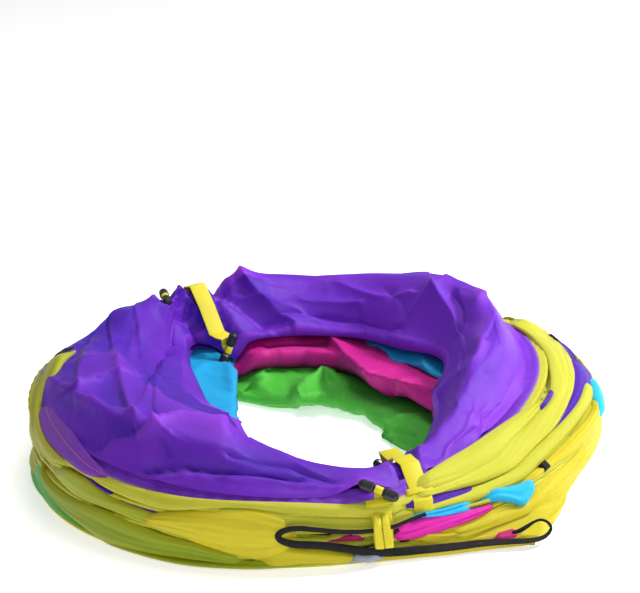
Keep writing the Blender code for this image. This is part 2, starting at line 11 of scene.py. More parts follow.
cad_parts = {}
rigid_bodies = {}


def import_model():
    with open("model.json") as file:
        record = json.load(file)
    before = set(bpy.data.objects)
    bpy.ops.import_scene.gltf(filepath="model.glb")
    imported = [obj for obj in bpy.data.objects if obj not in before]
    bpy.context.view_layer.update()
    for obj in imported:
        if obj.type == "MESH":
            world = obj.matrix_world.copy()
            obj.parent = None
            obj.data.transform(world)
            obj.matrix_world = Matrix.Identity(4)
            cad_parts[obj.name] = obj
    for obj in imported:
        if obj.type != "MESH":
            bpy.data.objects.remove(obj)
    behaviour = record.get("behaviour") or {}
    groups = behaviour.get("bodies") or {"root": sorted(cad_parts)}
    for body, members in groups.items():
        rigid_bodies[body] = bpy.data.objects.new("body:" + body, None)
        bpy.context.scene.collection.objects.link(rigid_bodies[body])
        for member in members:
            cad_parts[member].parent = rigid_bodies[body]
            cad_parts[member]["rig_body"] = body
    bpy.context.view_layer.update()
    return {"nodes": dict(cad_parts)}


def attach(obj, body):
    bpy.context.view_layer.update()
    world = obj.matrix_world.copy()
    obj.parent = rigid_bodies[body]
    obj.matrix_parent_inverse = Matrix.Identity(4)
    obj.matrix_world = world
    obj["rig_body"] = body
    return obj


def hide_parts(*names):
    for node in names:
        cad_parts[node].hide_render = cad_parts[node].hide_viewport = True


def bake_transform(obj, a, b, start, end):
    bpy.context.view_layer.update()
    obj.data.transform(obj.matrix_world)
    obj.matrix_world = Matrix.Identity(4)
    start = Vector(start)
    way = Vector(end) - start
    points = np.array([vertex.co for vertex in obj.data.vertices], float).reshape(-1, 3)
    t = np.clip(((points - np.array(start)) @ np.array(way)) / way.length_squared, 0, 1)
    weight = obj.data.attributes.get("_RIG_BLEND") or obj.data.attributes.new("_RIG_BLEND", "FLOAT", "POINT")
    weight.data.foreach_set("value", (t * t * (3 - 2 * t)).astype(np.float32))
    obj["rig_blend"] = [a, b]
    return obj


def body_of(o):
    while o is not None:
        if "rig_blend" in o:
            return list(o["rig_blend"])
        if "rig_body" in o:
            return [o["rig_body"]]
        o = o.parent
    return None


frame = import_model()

# Sizes shared with the solids, in metres
HOOP_RADIUS = 0.2425
HOOPS = 7
TAPE_RADIUS = 0.00216
TAPE_DEPTH = 0.018
LAYER_GAP = 0.0009
LOOSE_GAP = 0.003
ARCH_HEIGHT = 0.016
FOOT_RISE = 0.00175
FAN_SPREAD = 0.050
BAND_TILT = math.radians(42)
BILLOW_HEIGHT = 0.112
BILLOW_REACH = 0.150
FLOOR_CLEARANCE = 0.0012
FOLD_RUN = 0.024
SIDES = ("front_lower", "front_upper", "back_upper", "back_lower")

# Flat sizes of the sheets: the girth, a panel between two hoops, and the tape before it is folded
GIRTH = 2 * math.pi * HOOP_RADIUS
PANEL_LENGTH = 0.295
TAPE_CUT = 0.042

# How the ring changes round its turn: shares of the sizes above at each of these angles
ANGLES = (-165, -135, -110, -90, -75, -60, -35, -10, 20, 50, 80, 112, 125, 139, 158, 180)
TILT = (1.0, 1.0, 1.0, 1.0, 1.0, 0.62, 0.26, 0.24, 0.26, 0.45, 0.9, 1.0, 1.0, 1.0, 1.0, 1.0)
SPREAD = (0, 0, 0, 0, 0.02, 0.45, 0.95, 0.92, 0.72, 0.42, 0.12, 0, 0, 0, 0, 0)
INSET = (0, 0, 0, 0.06, 0.30, 0.70, 1.0)
ARCH = (0, 0, 0, 0, 0, 0.1, 0.45, 0.9, 1.0, 0.7, 0.2, 0, 0, 0, 0, 0)
LOOSE = (0.8, 0.4, 0.12, 0, 0, 0, 0, 0.1, 0.2, 0.2, 0.1, 0, 0, 0, 0.9, 1.0)
HEIGHT_ANGLES = (-165, -135, -110, -90, -75, -60, -35, -10, 20, 50, 80, 100, 111, 115.5, 120, 127, 139,
                 148, 158, 170, 180)
HEIGHT = (0.88, 0.87, 0.79, 0.66, 0.57, 0.62, 0.80, 0.88, 0.97, 0.98, 0.83, 0.86, 0.82, 0.55, 0.72, 0.83,
          0.92, 0.97, 0.90, 0.91, 0.92)
CREASE = {
    "green": (0.78, 0.65, 0.46, 0.35, 0.28, 0.36, 0.50, 0.76, 0.88, 0.90, 0.94, 0.84, 0.53, 0.62, 0.78,
              0.85),
    "yellow": (0.75, 0.62, 0.44, 0.31, 0.23, 0.23, 0.25, 0.42, 0.51, 0.48, 0.45, 0.44, 0.33, 0.46, 0.69,
               0.77),
    "magenta": (0.83, 0.67, 0.48, 0.35, 0.23, 0.26, 0.28, 0.47, 0.64, 0.80, 0.64, 0.52, 0.34, 0.53, 0.75,
                0.85),
    "cyan": (0.95, 0.75, 0.53, 0.38, 0.31, 0.34, 0.31, 0.46, 0.46, 0.60, 0.38, 0.36, 0.68, 0.90, 1.03,
             1.06),
    "purple_low": (0.87, 0.78, 0.58, 0.40, 0.26, 0.31, 0.33, 0.46, 0.40, 0.48, 0.42, 0.39, 0.30, 0.53,
                   0.77, 0.86),
    "purple_top": (0.95, 0.90, 0.68, 0.45, 0.28, 0.36, 0.39, 0.52, 0.46, 0.60, 0.51, 0.48, 0.33, 0.57,
                   0.82, 0.92),
}
PANELS = tuple(CREASE)
LEVEL = (0.0, 0.11, 0.15, 0.22, 0.26, 0.39, 0.43, 0.52, 0.56, 0.64, 0.68, 0.96)
LEVEL_BACK = (0.0, 0.22, 0.26, 0.30, 0.33, 0.58, 0.60, 0.63, 0.65, 0.68, 0.70, 0.96)
BACK = (0, 0, 0, 0, 0, 0, 0, 0.1, 0.4, 0.9, 1.0, 1.0, 0.6, 0, 0, 0)
PILE_SHARE = 0.80
PILE_DROP = 0.36
DOME_RISE = 0.36
DOME_DROP = 0.46
SEAM_OFFSET = 0.0008

# The camera, fitted to the photograph
CAMERA_AIM = (0.0, 0.0, 0.045)
CAMERA_DISTANCE = 2.4
CAMERA_RISE = math.radians(21.5)
CAMERA_DOWN = CAMERA_RISE - math.radians(2.09)
CAMERA_ASIDE = math.radians(0.263)
CAMERA_ROLL = math.radians(4.05)
LENS = 156.95
SENSOR = 36.0
PICTURE_WIDTH = 640
PICTURE_HEIGHT = 593
PICTURE_MIDDLE = (PICTURE_WIDTH / 2, PICTURE_HEIGHT / 2)
PICTURE_REACH = LENS / SENSOR * PICTURE_WIDTH
CAMERA_AWAY = Vector((0.0, -math.cos(CAMERA_RISE), math.sin(CAMERA_RISE)))
CAMERA_PLACE = Vector(CAMERA_AIM) + CAMERA_DISTANCE * CAMERA_AWAY
CAMERA_TURN = (Matrix.Rotation(-CAMERA_ASIDE, 3, "Z") @ Matrix.Rotation(math.pi / 2 - CAMERA_DOWN, 3, "X")
               @ Matrix.Rotation(-CAMERA_ROLL, 3, "Z"))
EYE = np.array(CAMERA_PLACE)
VIEW_END = 50

# Soft studio lamps: name, place, aim, size and power
LAMPS = (
    ("key", (1.15, 0.10, 1.15), (0.0, 0.0, 0.04), 0.32, 26),
    ("top", (0.10, 0.35, 1.6), (0.0, 0.0, 0.04), 0.8, 9),
    ("fill", (0.35, -1.7, 1.15), (0.0, 0.05, 0.05), 1.2, 9),
)
WORLD_COLOUR = (0.95, 0.96, 1.0, 1)
WORLD_STRENGTH = 0.24
FLOOR_HALF = 40.0
FLOOR_DROP = 0.0002
FLOOR_GLOW = 0.50


def add_object(name, data):
    item = bpy.data.objects.new(name, data)
    bpy.context.scene.collection.objects.link(item)
    return item


def add_camera():
    data = bpy.data.cameras.new("camera")
    data.lens = LENS
    data.sensor_width = SENSOR
    data.clip_end = VIEW_END
    camera = add_object("camera", data)
    camera.location = CAMERA_PLACE
    camera.rotation_euler = CAMERA_TURN.to_euler()
    bpy.context.scene.camera = camera


def add_lamp(name, place, aim, size, power):
    light = bpy.data.lights.new(name, "AREA")
    light.shape = "DISK"
    light.size = size
    light.energy = power
    lamp = add_object(name, light)
    lamp.location = place
    lamp.rotation_euler = (Vector(aim) - Vector(place)).to_track_quat("-Z", "Y").to_euler()


def add_world():
    world = bpy.data.worlds.new("studio")
    world.use_nodes = True
    background = world.node_tree.nodes["Background"]
    background.inputs["Color"].default_value = WORLD_COLOUR
    background.inputs["Strength"].default_value = WORLD_STRENGTH
    bpy.context.scene.world = world
    bpy.context.scene.view_settings.view_transform = "Standard"


def add_floor():
    """A pale paper floor, which glows a little so that it fades into the background."""
    corners = [(x * FLOOR_HALF, y * FLOOR_HALF, 0) for x, y in ((-1, -1), (1, -1), (1, 1), (-1, 1))]
    mesh = bpy.data.meshes.new("floor")
    mesh.from_pydata(corners, [], [(0, 1, 2, 3)])
    floor = add_object("floor", mesh)
    floor.location.z = -FLOOR_DROP
    paper = Finish("floor_paper")
    paper.set({"Base Color": paper.mix(paper.noise(30), (0.97, 0.97, 0.97), (0.99, 0.99, 0.99)),
               "Roughness": 0.85, "Specular IOR Level": 0.1,
               "Emission Color": (1, 1, 1), "Emission Strength": FLOOR_GLOW})
    mesh.materials.append(paper.material)


class Finish:
    """A material's node tree, with short calls for the nodes that the finishes here share."""

    def __init__(self, name):
        self.material = bpy.data.materials.new(name)
        self.material.use_nodes = True
        self.tree = self.material.node_tree
        self.shader = self.tree.nodes["Principled BSDF"]

    def feed(self, socket, value):
        """Gives a socket a number, a colour, a vector or another node's output."""
        if isinstance(value, (int, float)):
            socket.default_value = value
        elif isinstance(value, tuple):
            socket.default_value = (*value, 1) if socket.type == "RGBA" else value
        else:
            self.tree.links.new(value, socket)

    def set(self, values):
        for name, value in values.items():
            self.feed(self.shader.inputs[name], value)

    def node(self, kind, inputs=None, **settings):
        """A new node with its settings and with the inputs that are named or numbered."""
        node = self.tree.nodes.new(f"ShaderNode{kind}")
        for name, value in settings.items():
            setattr(node, name, value)
        for key, value in (inputs or {}).items():
            self.feed(node.inputs[key], value)
        return node

    def calc(self, operation, first, second=None):
        inputs = {0: first} if second is None else {0: first, 1: second}
        return self.node("Math", inputs, operation=operation).outputs[0]

    def mix(self, share, first, second, kind="MIX"):
        node = self.node("Mix", data_type="RGBA", blend_type=kind)
        for socket, value in zip((node.inputs[0], *node.inputs[6:8]), (share, first, second)):
            self.feed(socket, value)
        return node.outputs[2]

    def place(self):
        return self.node("TexCoord").outputs["Object"]

    def noise(self, scale, detail=2.0, place=None, rough=0.5):
        node = self.node("TexNoise", {"Scale": scale, "Detail": detail, "Roughness": rough})
        if place is not None:
            self.feed(node.inputs["Vector"], place)
        return node.outputs["Fac"]

    def bump(self, height, strength, depth):
        return self.node("Bump", {"Strength": strength, "Distance": depth, "Height": height}).outputs[0]


# Cloth finishes: noise scales per metre, shares of the mixes and sizes of the bumps
DYE_SCALE = 16
FINE_SCALE = 140
CRINKLE_SCALE = 60
RIDGES = ((13, 1.0), (31, 0.45))
DYE_SHARE = 0.55
FINE_SHARE = 0.16
WEAVE_SIZE = 0.16
CRINKLE_SIZE = 2.2
CLOTH_BUMP = 0.5
CLOTH_BUMP_DEPTH = 0.0006
SCATTER = 0.006

# The same for hard finishes and threads
WORN_SCALE = 60
WORN_LIGHT = 2.2
WORN_LEAST = 0.01
WORN_POWER = 3.0
WORN_SHARE = 0.25
WORN_ROUGH = 0.2
GRAIN_BUMP = 0.15
GRAIN_DEPTH = 0.0002
TWIST_SCALE = 1400
TWIST_DARK = 0.6

# Woven cloths: material, colour, deeper colour, second colour mixed in by each point's share, and what else
# differs.
# The second colour is painted light and shade: a lit copy of the colour for purple, magenta, green and hem,
# and a shaded copy for yellow and tape (olive) and for cyan. On the top tape it is the real purple of its
# hem.
CLOTHS = {
    "purple": ("cloth_purple", (0.068, 0.004, 0.41), (0.040, 0.002, 0.27), (0.25, 0.028, 0.66),
               {"sheen": 0.05, "soft": 0.05}),
    "yellow": ("cloth_yellow", (0.66, 0.55, 0.010), (0.50, 0.40, 0.006), (0.20, 0.33, 0.006), {}),
    "magenta": ("cloth_magenta", (0.50, 0.003, 0.16), (0.32, 0.002, 0.09), (0.80, 0.014, 0.44), {}),
    "green": ("cloth_green", (0.042, 0.42, 0.028), (0.022, 0.27, 0.018), (0.12, 0.62, 0.05), {}),
    "cyan": ("cloth_cyan", (0.010, 0.50, 0.90), (0.008, 0.36, 0.74), (0.0, 0.10, 0.25), {}),
    "tape": ("tape_yellow", (0.58, 0.57, 0.034), (0.44, 0.42, 0.018), (0.20, 0.22, 0.01), {}),
    "tape_top": ("tape_top", (0.57, 0.56, 0.032), (0.44, 0.42, 0.018), (0.14, 0.016, 0.46), {}),
    "hem": ("hem_purple", (0.21, 0.040, 0.46), (0.13, 0.02, 0.36), (0.30, 0.09, 0.54), {}),
    "strap": ("strap_yellow", (0.72, 0.63, 0.015), (0.58, 0.47, 0.010), None,
              {"pitch": 0.0012, "crumple": 3.0}),
    "binding": ("binding_black", (0.0022, 0.0024, 0.0050), (0.0012, 0.0012, 0.0024), None,
                {"pitch": 0.0011, "rough": 0.72, "sheen": 0.0, "soft": 0.0}),
    "grey": ("ribbon_grey", (0.36, 0.40, 0.46), (0.20, 0.23, 0.27), None, {"rough": 0.3, "soft": 0.0}),
}
SLOTS = {look: values[0] for look, values in CLOTHS.items()}
SLOTS["tape_top"] = "hem_purple"


def weave(finish, pitch):
    """Height of a plain weave, from coordinates in metres along the cloth's own threads."""
    threads = finish.node("UVMap", uv_map="cloth").outputs[0]
    split = finish.node("SeparateXYZ", {0: threads})
    turn = 2 * math.pi / pitch
    waves = [finish.calc("SINE", finish.calc("MULTIPLY", split.outputs[axis], turn)) for axis in (0, 1)]
    return finish.calc("MULTIPLY", *waves)


def cloth_finish(name, mid, deep, painted_light_and_hem_colour, pitch=0.0009, rough=0.46, sheen=0.06, soft=0.08, crumple=4.0):
    """Thin woven nylon: weave, soft crinkle, uneven dye, and a second colour by each point's share, which
    paints light and shade (on the top tape, its purple hem).
    """
    finish = Finish(name)
    place = finish.place()
    fine = finish.noise(FINE_SCALE, 3, place, 0.6)
    colour = finish.mix(finish.calc("MULTIPLY", finish.noise(DYE_SCALE, 3, place), DYE_SHARE), mid, deep)
    # Painted light and shade: a lit or shaded copy of the colour, mixed in by each point's share
    if painted_light_and_hem_colour is not None:
        colour = finish.mix(finish.node("Attribute", attribute_name="painted_light_and_hem_share").outputs["Fac"], colour, painted_light_and_hem_colour)
    colour = finish.mix(finish.calc("MULTIPLY", fine, FINE_SHARE), colour, (1, 1, 1), "SOFT_LIGHT")
    crinkle = finish.calc("MULTIPLY", finish.noise(CRINKLE_SCALE, 4, place, 0.55), CRINKLE_SIZE)
    height = finish.calc("ADD", finish.calc("MULTIPLY", weave(finish, pitch), WEAVE_SIZE), crinkle)
    for scale, share in RIDGES:
        ridge = finish.calc("ABSOLUTE", finish.calc("SUBTRACT", finish.noise(scale, 1, place), 0.5))
        height = finish.calc("SUBTRACT", height, finish.calc("MULTIPLY", ridge, crumple * share))
    wear = finish.calc("ADD", finish.calc("MULTIPLY", fine, FINE_SHARE), rough - FINE_SHARE / 2)
    finish.set({"Base Color": colour, "Normal": finish.bump(height, CLOTH_BUMP, CLOTH_BUMP_DEPTH),
                "Roughness": wear, "Sheen Weight": sheen, "Sheen Roughness": 0.4,
                "Specular IOR Level": 0.32,
                "Subsurface Weight": soft, "Subsurface Radius": (SCATTER, SCATTER, SCATTER)})
    finish.material.diffuse_color = (*mid, 1)
    return finish.material


def hard_finish(name, colour, rough, metal=0.0, grain=900.0):
    """Moulded plastic or drawn wire, with a fine grain and worn, slightly lighter patches."""
    finish = Finish(name)
    place = finish.place()
    broad = finish.noise(WORN_SCALE, 4, place)
    lighter = tuple(min(1, value * WORN_LIGHT + WORN_LEAST) for value in colour)
    share = finish.calc("MULTIPLY", finish.calc("POWER", broad, WORN_POWER), WORN_SHARE)
    wear = finish.calc("ADD", finish.calc("MULTIPLY", broad, WORN_ROUGH), rough - WORN_ROUGH / 2)
    finish.set({"Base Color": finish.mix(share, colour, lighter), "Roughness": wear, "Metallic": metal,
                "Normal": finish.bump(finish.noise(grain, 2, place), GRAIN_BUMP, GRAIN_DEPTH)})
    return finish.material


def thread_finish(name, colour):
    finish = Finish(name)
    twist = finish.noise(TWIST_SCALE, 2, finish.place())
    deep = tuple(value * TWIST_DARK for value in colour)
    finish.set({"Base Color": finish.mix(twist, deep, colour), "Roughness": 0.55, "Sheen Weight": 0.3})
    return finish.material


def make_materials():
    """Every finish by its look."""
    made = {look: cloth_finish(*values[:4], **values[4]) for look, values in CLOTHS.items()}
    made["orange_thread"] = thread_finish("orange_thread", (0.80, 0.30, 0.10))
    made["yellow_thread"] = thread_finish("yellow_thread", (0.75, 0.62, 0.05))
    made["plastic"] = hard_finish("toggle_plastic", (0.012, 0.012, 0.016), 0.34)
    made["steel"] = hard_finish("spring_wire", (0.42, 0.43, 0.45), 0.35, 1.0, grain=400)
    return made


# The ring's form
def around(shares, angle, angles=ANGLES):
    """A table's values at an array of angles, on a smooth closed curve through its entries."""
    angle = np.asarray(angle, float)
    count = len(angles)
    a = np.array(angles, float)
    s = np.array(shares, float)
    a = np.concatenate((a[-2:] - 360, a, a[:2] + 360))
    s = np.concatenate((s[-2:], s, s[:2]))
    turn = (angle - a[2]) % 360 + a[2]
    low = np.clip(np.searchsorted(a, turn, side="right") - 1, 2, count + 1)
    a0, a1, a2, a3 = (a[low + step] for step in (-1, 0, 1, 2))
    s0, s1, s2, s3 = (s[low + step] for step in (-1, 0, 1, 2))
    span = a2 - a1
    slope1 = (s2 - s0) / (a2 - a0) * span
    slope2 = (s3 - s1) / (a3 - a1) * span
    t = (turn - a1) / span
    first = (2 * t ** 3 - 3 * t ** 2 + 1) * s1 + (t ** 3 - 2 * t ** 2 + t) * slope1
    return first + (3 * t ** 2 - 2 * t ** 3) * s2 + (t ** 3 - t ** 2) * slope2


def smooth(share):
    share = np.clip(share, 0, 1)
    return share * share * (3 - 2 * share)


def tilt_at(angle):
    return BAND_TILT * around(TILT, angle)


def hoop_radius(hoop, angle):
    return HOOP_RADIUS - FAN_SPREAD * np.maximum(0, around(SPREAD, angle)) * INSET[hoop]


def hoop_height(hoop, angle):
    tilt = tilt_at(angle)
    height = FOOT_RISE + ARCH_HEIGHT * np.maximum(0, around(ARCH, angle))
    gap = LAYER_GAP + LOOSE_GAP * np.maximum(0, around(LOOSE, angle))
    for below in range(hoop):
        shift = hoop_radius(below, angle) - hoop_radius(below + 1, angle)
        height = height + (2 * TAPE_RADIUS + gap) / np.cos(tilt) + shift * np.tan(tilt)
    return height


def on_band(hoop, angle, along, above):
    tilt = tilt_at(angle)
    reach = hoop_radius(hoop, angle) - along * np.cos(tilt) + above * np.sin(tilt)
    return reach, hoop_height(hoop, angle) + along * np.sin(tilt) + above * np.cos(tilt)


def pile_start(angle):
    return np.min([on_band(hoop, angle, TAPE_DEPTH, 0)[0] for hoop in range(HOOPS)], axis=0)


def crease_reach(panel, angle):
    return pile_start(angle) - BILLOW_REACH * around(CREASE[PANELS[panel]], angle)


def dome_height(reach, angle):
    start = pile_start(angle)
    end = crease_reach(HOOPS - 2, angle)
    inward = (start - reach) / (start - end)
    fall = DOME_DROP * smooth((inward - DOME_RISE) / (1 - DOME_RISE))
    return BILLOW_HEIGHT * around(HEIGHT, angle, HEIGHT_ANGLES) * (1 - fall)


def pile_height(reach, angle):
    inward = pile_start(angle) - FOLD_RUN - reach
    share = PILE_SHARE - PILE_DROP * inward / BILLOW_REACH
    return BILLOW_HEIGHT * around(HEIGHT, angle, HEIGHT_ANGLES) * share


def level_height(level, reach, angle):
    """Height of a layer of cloth: tangent to its band at the seam, then its share of the pile."""
    seam = seam_of(level, angle, TAPE_DEPTH)
    outer = seam[1] + (seam[0] - reach) * np.tan(tilt_at(angle))
    inward = pile_start(angle) - reach
    top = level == len(LEVEL) - 1
    pile = dome_height(reach, angle) if top else pile_height(reach, angle)
    share = LEVEL[level] + (LEVEL_BACK[level] - LEVEL[level]) * np.clip(around(BACK, angle), 0, 1)
    inner = FLOOR_CLEARANCE + (pile - FLOOR_CLEARANCE) * share
    return outer + (inner - outer) * smooth(inward / FOLD_RUN)


def seam_of(level, angle, along):
    """Where a layer is sewn to its band: the even layers above it, the odd ones below the next."""
    side = 1 if level % 2 == 0 else -1
    return on_band((level + 1) // 2, angle, along, side * SEAM_OFFSET)


def to_points(angle, reach, height):
    turn = np.radians(angle)
    return np.stack(np.broadcast_arrays(reach * np.cos(turn), reach * np.sin(turn), height), -1)


# Meshes
def grid_faces(rows, columns, closed):
    """Quads of a grid whose rows run round the ring and whose columns run across the cloth."""
    faces = []
    for row in range(rows if closed else rows - 1):
        here = row * columns
        there = (row + 1) % rows * columns
        for column in range(columns - 1):
            faces.append((here + column, there + column, there + column + 1, here + column + 1))
    return faces


def add_threads(mesh, places):
    """Gives each point its place along the cloth's threads, in metres, for the weave."""
    layer = mesh.uv_layers.new(name="cloth")
    corner = np.empty(len(mesh.loops), np.int32)
    mesh.loops.foreach_get("vertex_index", corner)
    layer.uv.foreach_set("vector", np.asarray(places, np.float32).reshape(-1, 2)[corner].ravel())


def mesh_object(name, points, faces, look):
    """A smooth-shaded object in one finish."""
    mesh = bpy.data.meshes.new(name)
    mesh.from_pydata(np.asarray(points, float).reshape(-1, 3).tolist(), [], faces)
    mesh.shade_smooth()
    mesh.materials.append(MATERIALS[look])
    return add_object(name, mesh)


def grid_object(name, grid, closed, look, painted_light_and_hem_share=None):
    """A sheet from a grid of points, rows round the ring by columns across."""
    rows, columns = grid.shape[:2]
    item = mesh_object(name, grid, grid_faces(rows, columns, closed), look)
    along = np.repeat(np.arange(rows)[:, None] * GIRTH / rows, columns, 1)
    add_threads(item.data, np.stack((along, run_along(grid, 1)), -1))
    if painted_light_and_hem_share is not None:
        layer = item.data.attributes.new("painted_light_and_hem_share", "FLOAT", "POINT")
        layer.data.foreach_set("value", np.asarray(painted_light_and_hem_share, np.float32).ravel())
    return item


def run_along(points, axis=0):
    """The length run up to each point of a line, or of each row of a grid."""
    steps = np.linalg.norm(np.diff(points, axis=axis), axis=-1)
    start = np.zeros_like(np.take(steps, [0], axis))
    return np.concatenate((start, np.cumsum(steps, axis)), axis)


def apply_modifiers(item):
    bpy.context.view_layer.update()
    graph = bpy.context.evaluated_depsgraph_get()
    mesh = bpy.data.meshes.new_from_object(item.evaluated_get(graph))
    item.modifiers.clear()
    old = item.data
    item.data = mesh
    mesh.name = old.name
    bpy.data.meshes.remove(old)


def across_joint(item, low_hoop, weights):
    """The sheet bends between a hoop's body and the next one up, by each point's share."""
    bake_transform(item, f"turn_{low_hoop}", f"turn_{low_hoop + 1}", (0, 0, 0), (0, 0, 0.05))
    item.data.attributes["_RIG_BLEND"].data.foreach_set("value", np.asarray(weights, np.float32).ravel())


# Places in the photograph's picture, lifted onto the ring's own form
TURNS = np.arange(480) * 0.75
STATIONS = len(TURNS)
PATCH_FLOOR = 0.0025
FORM_HEM = (0.004, 0.009, TAPE_DEPTH - 0.003)
FORM_STEPS = np.linspace(0.04, 1, 40)
FORM_INSET = 0.004
FORM_SEAT = 0.7
WALL_STEPS = (0.33, 0.67, 1)
ROUTE_STEPS = 24
UP_LEAN = 0.6
WAVE_COUNT = 7
WAVE_LENGTHS = (0.018, 0.07)


def rays(spots):
    """Directions from the camera through places in the picture, in pixels."""
    spots = (np.asarray(spots, float) - PICTURE_MIDDLE) * (1, -1) / PICTURE_REACH
    world = np.concatenate((spots, -np.ones_like(spots[..., :1])), -1) @ np.array(CAMERA_TURN).T
    return world / np.linalg.norm(world, axis=-1, keepdims=True)


def picture_spots(points):
    """Where points of the scene fall in the picture, in pixels."""
    local = (points - EYE) @ np.array(CAMERA_TURN)
    return local[..., :2] / -local[..., 2:] * PICTURE_REACH * (1, -1) + PICTURE_MIDDLE


def form_tree():
    """The ring's whole outside as one plain surface: the wall of hoops, the hem and the top cloth."""
    angle = TURNS[:, None]
    wall = [on_band(hoop, angle, -TAPE_RADIUS, 0) for hoop in range(HOOPS)]
    columns = [(wall[0][0], 0 * wall[0][1]), wall[0]]
    for here, above in zip(wall, wall[1:]):
        columns += [tuple(a + (b - a) * share for a, b in zip(here, above)) for share in WALL_STEPS]
    columns += [on_band(HOOPS - 1, angle, along, TAPE_RADIUS * FORM_SEAT) for along in FORM_HEM]
    start = pile_start(angle)
    crease = crease_reach(HOOPS - 2, angle)
    for share in FORM_STEPS:
        reach = start - (start - crease - FORM_INSET) * share
        columns.append((reach, level_height(len(LEVEL) - 1, reach, angle)))
    inner = level_height(0, crease, angle)
    columns += [(crease, (columns[-1][1] + inner) / 2), (crease, inner * 0)]
    reach, height = (np.concatenate(part, 1) for part in zip(*columns))
    faces = grid_faces(STATIONS, len(columns), True)
    return BVHTree.FromPolygons(to_points(angle, reach, height).reshape(-1, 3).tolist(), faces)


def depths(spots):
    """How far the form lies from the camera along the ray through each place in the picture."""
    directions = rays(spots)
    flat = directions.reshape(-1, 3)
    found = np.full(len(flat), np.nan)
    for index, ray in enumerate(flat):
        hit = FORM.ray_cast(CAMERA_PLACE, Vector(ray))[0]
        if hit is not None:
            found[index] = (np.array(hit) - EYE) @ ray
    if np.isnan(found).all():
        for index, ray in enumerate(flat):
            ray = Vector(ray)
            near = FORM.find_nearest(CAMERA_PLACE + ray * CAMERA_DISTANCE)[0]
            near = FORM.find_nearest(CAMERA_PLACE + ray * (near - CAMERA_PLACE).dot(ray))[0]
            found[index] = (np.array(near) - EYE) @ flat[index]
    ground = (PATCH_FLOOR - CAMERA_PLACE[2]) / directions[..., 2]
    return np.fmin(filled(found.reshape(spots.shape[:-1])), ground)


def filled(values):
    """Gaps in a grid of numbers, filled from their neighbours a step at a time."""
    flat = values.ndim == 1
    values = np.atleast_2d(values)
    while np.isnan(values).any() and not np.isnan(values).all():
        wide = np.pad(values, 1, constant_values=np.nan)
        near = np.stack((wide[:-2, 1:-1], wide[2:, 1:-1], wide[1:-1, :-2], wide[1:-1, 2:]))
        known = ~np.isnan(near)
        mean = np.where(known, near, 0).sum(0) / np.maximum(known.sum(0), 1)
        values = np.where(np.isnan(values) & known.any(0), mean, values)
    return values[0] if flat else values


def spread(values, width, axis):
    """A running mean along one axis, with the ends held."""
    if width < 1:
        return values
    pad = [(0, 0)] * values.ndim
    pad[axis] = (width, width)
    sums = np.cumsum(np.pad(values, pad, mode="edge"), axis)
    zero = np.zeros_like(np.take(sums, [0], axis))
    sums = np.concatenate((zero, sums), axis)
    high = np.take(sums, range(2 * width + 1, sums.shape[axis]), axis)
    low = np.take(sums, range(0, sums.shape[axis] - 2 * width - 1), axis)
    return (high - low) / (2 * width + 1)


def eased(values, rounds, reach_along, reach_across):
    """Running means along both axes of a grid, a number of rounds."""
    for _ in range(rounds):
        values = spread(spread(values, reach_along, 0), reach_across, 1)
    return values


def route(spots, count):
    """Evenly stepped places on a smooth curve through the given ones."""
    spots = np.asarray(spots, float)
    if len(spots) == 2:
        return spots[0] + (spots[1] - spots[0]) * np.linspace(0, 1, count)[:, None]
    padded = np.concatenate((2 * spots[:1] - spots[1:2], spots, 2 * spots[-1:] - spots[-2:-1]))
    t = np.linspace(0, 1, ROUTE_STEPS, endpoint=False)[:, None]
    dense = [0.5 * (2 * b + (c - a) * t + (2 * a - 5 * b + 4 * c - d) * t ** 2
                    + (3 * b - a - 3 * c + d) * t ** 3)
             for a, b, c, d in zip(padded, padded[1:], padded[2:], padded[3:])]
    dense = np.concatenate(dense + [spots[-1:]])
    run = run_along(dense)
    steps = np.linspace(0, run[-1], count)
    return np.stack([np.interp(steps, run, column) for column in dense.T], -1)


def length_of(spots):
    return float(np.linalg.norm(np.diff(np.asarray(spots, float), axis=0), axis=1).sum())


def unit(vectors):
    return vectors / np.maximum(np.linalg.norm(vectors, axis=-1, keepdims=True), 1e-12)


def grid_normals(grid, upward=False):
    """Unit normals of a grid of points, turned outward and up, or all to the side that mostly looks up."""
    normal = unit(np.cross(np.gradient(grid, axis=0), np.gradient(grid, axis=1)))
    if upward:
        return normal * np.sign(normal[..., 2].mean())
    side = np.sign((normal * (unit(grid * (1, 1, 0)) + (0, 0, UP_LEAN))).sum(-1, keepdims=True))
    return normal * np.where(side == 0, 1, side)


def waves(along, across, seed):
    """Soft unevenness of slack cloth, from a few crossing waves."""
    draw = np.random.default_rng(seed)
    total = 0 * along
    for _ in range(WAVE_COUNT):
        length = draw.uniform(*WAVE_LENGTHS)
        turn = draw.uniform(-0.5, 0.5)
        phase = draw.uniform(0, 2 * math.pi)
        run = along * math.sin(turn) + across * math.cos(turn)
        total = total + np.sin(run * 2 * math.pi / length + phase)
    return total / WAVE_COUNT


FORM = form_tree()

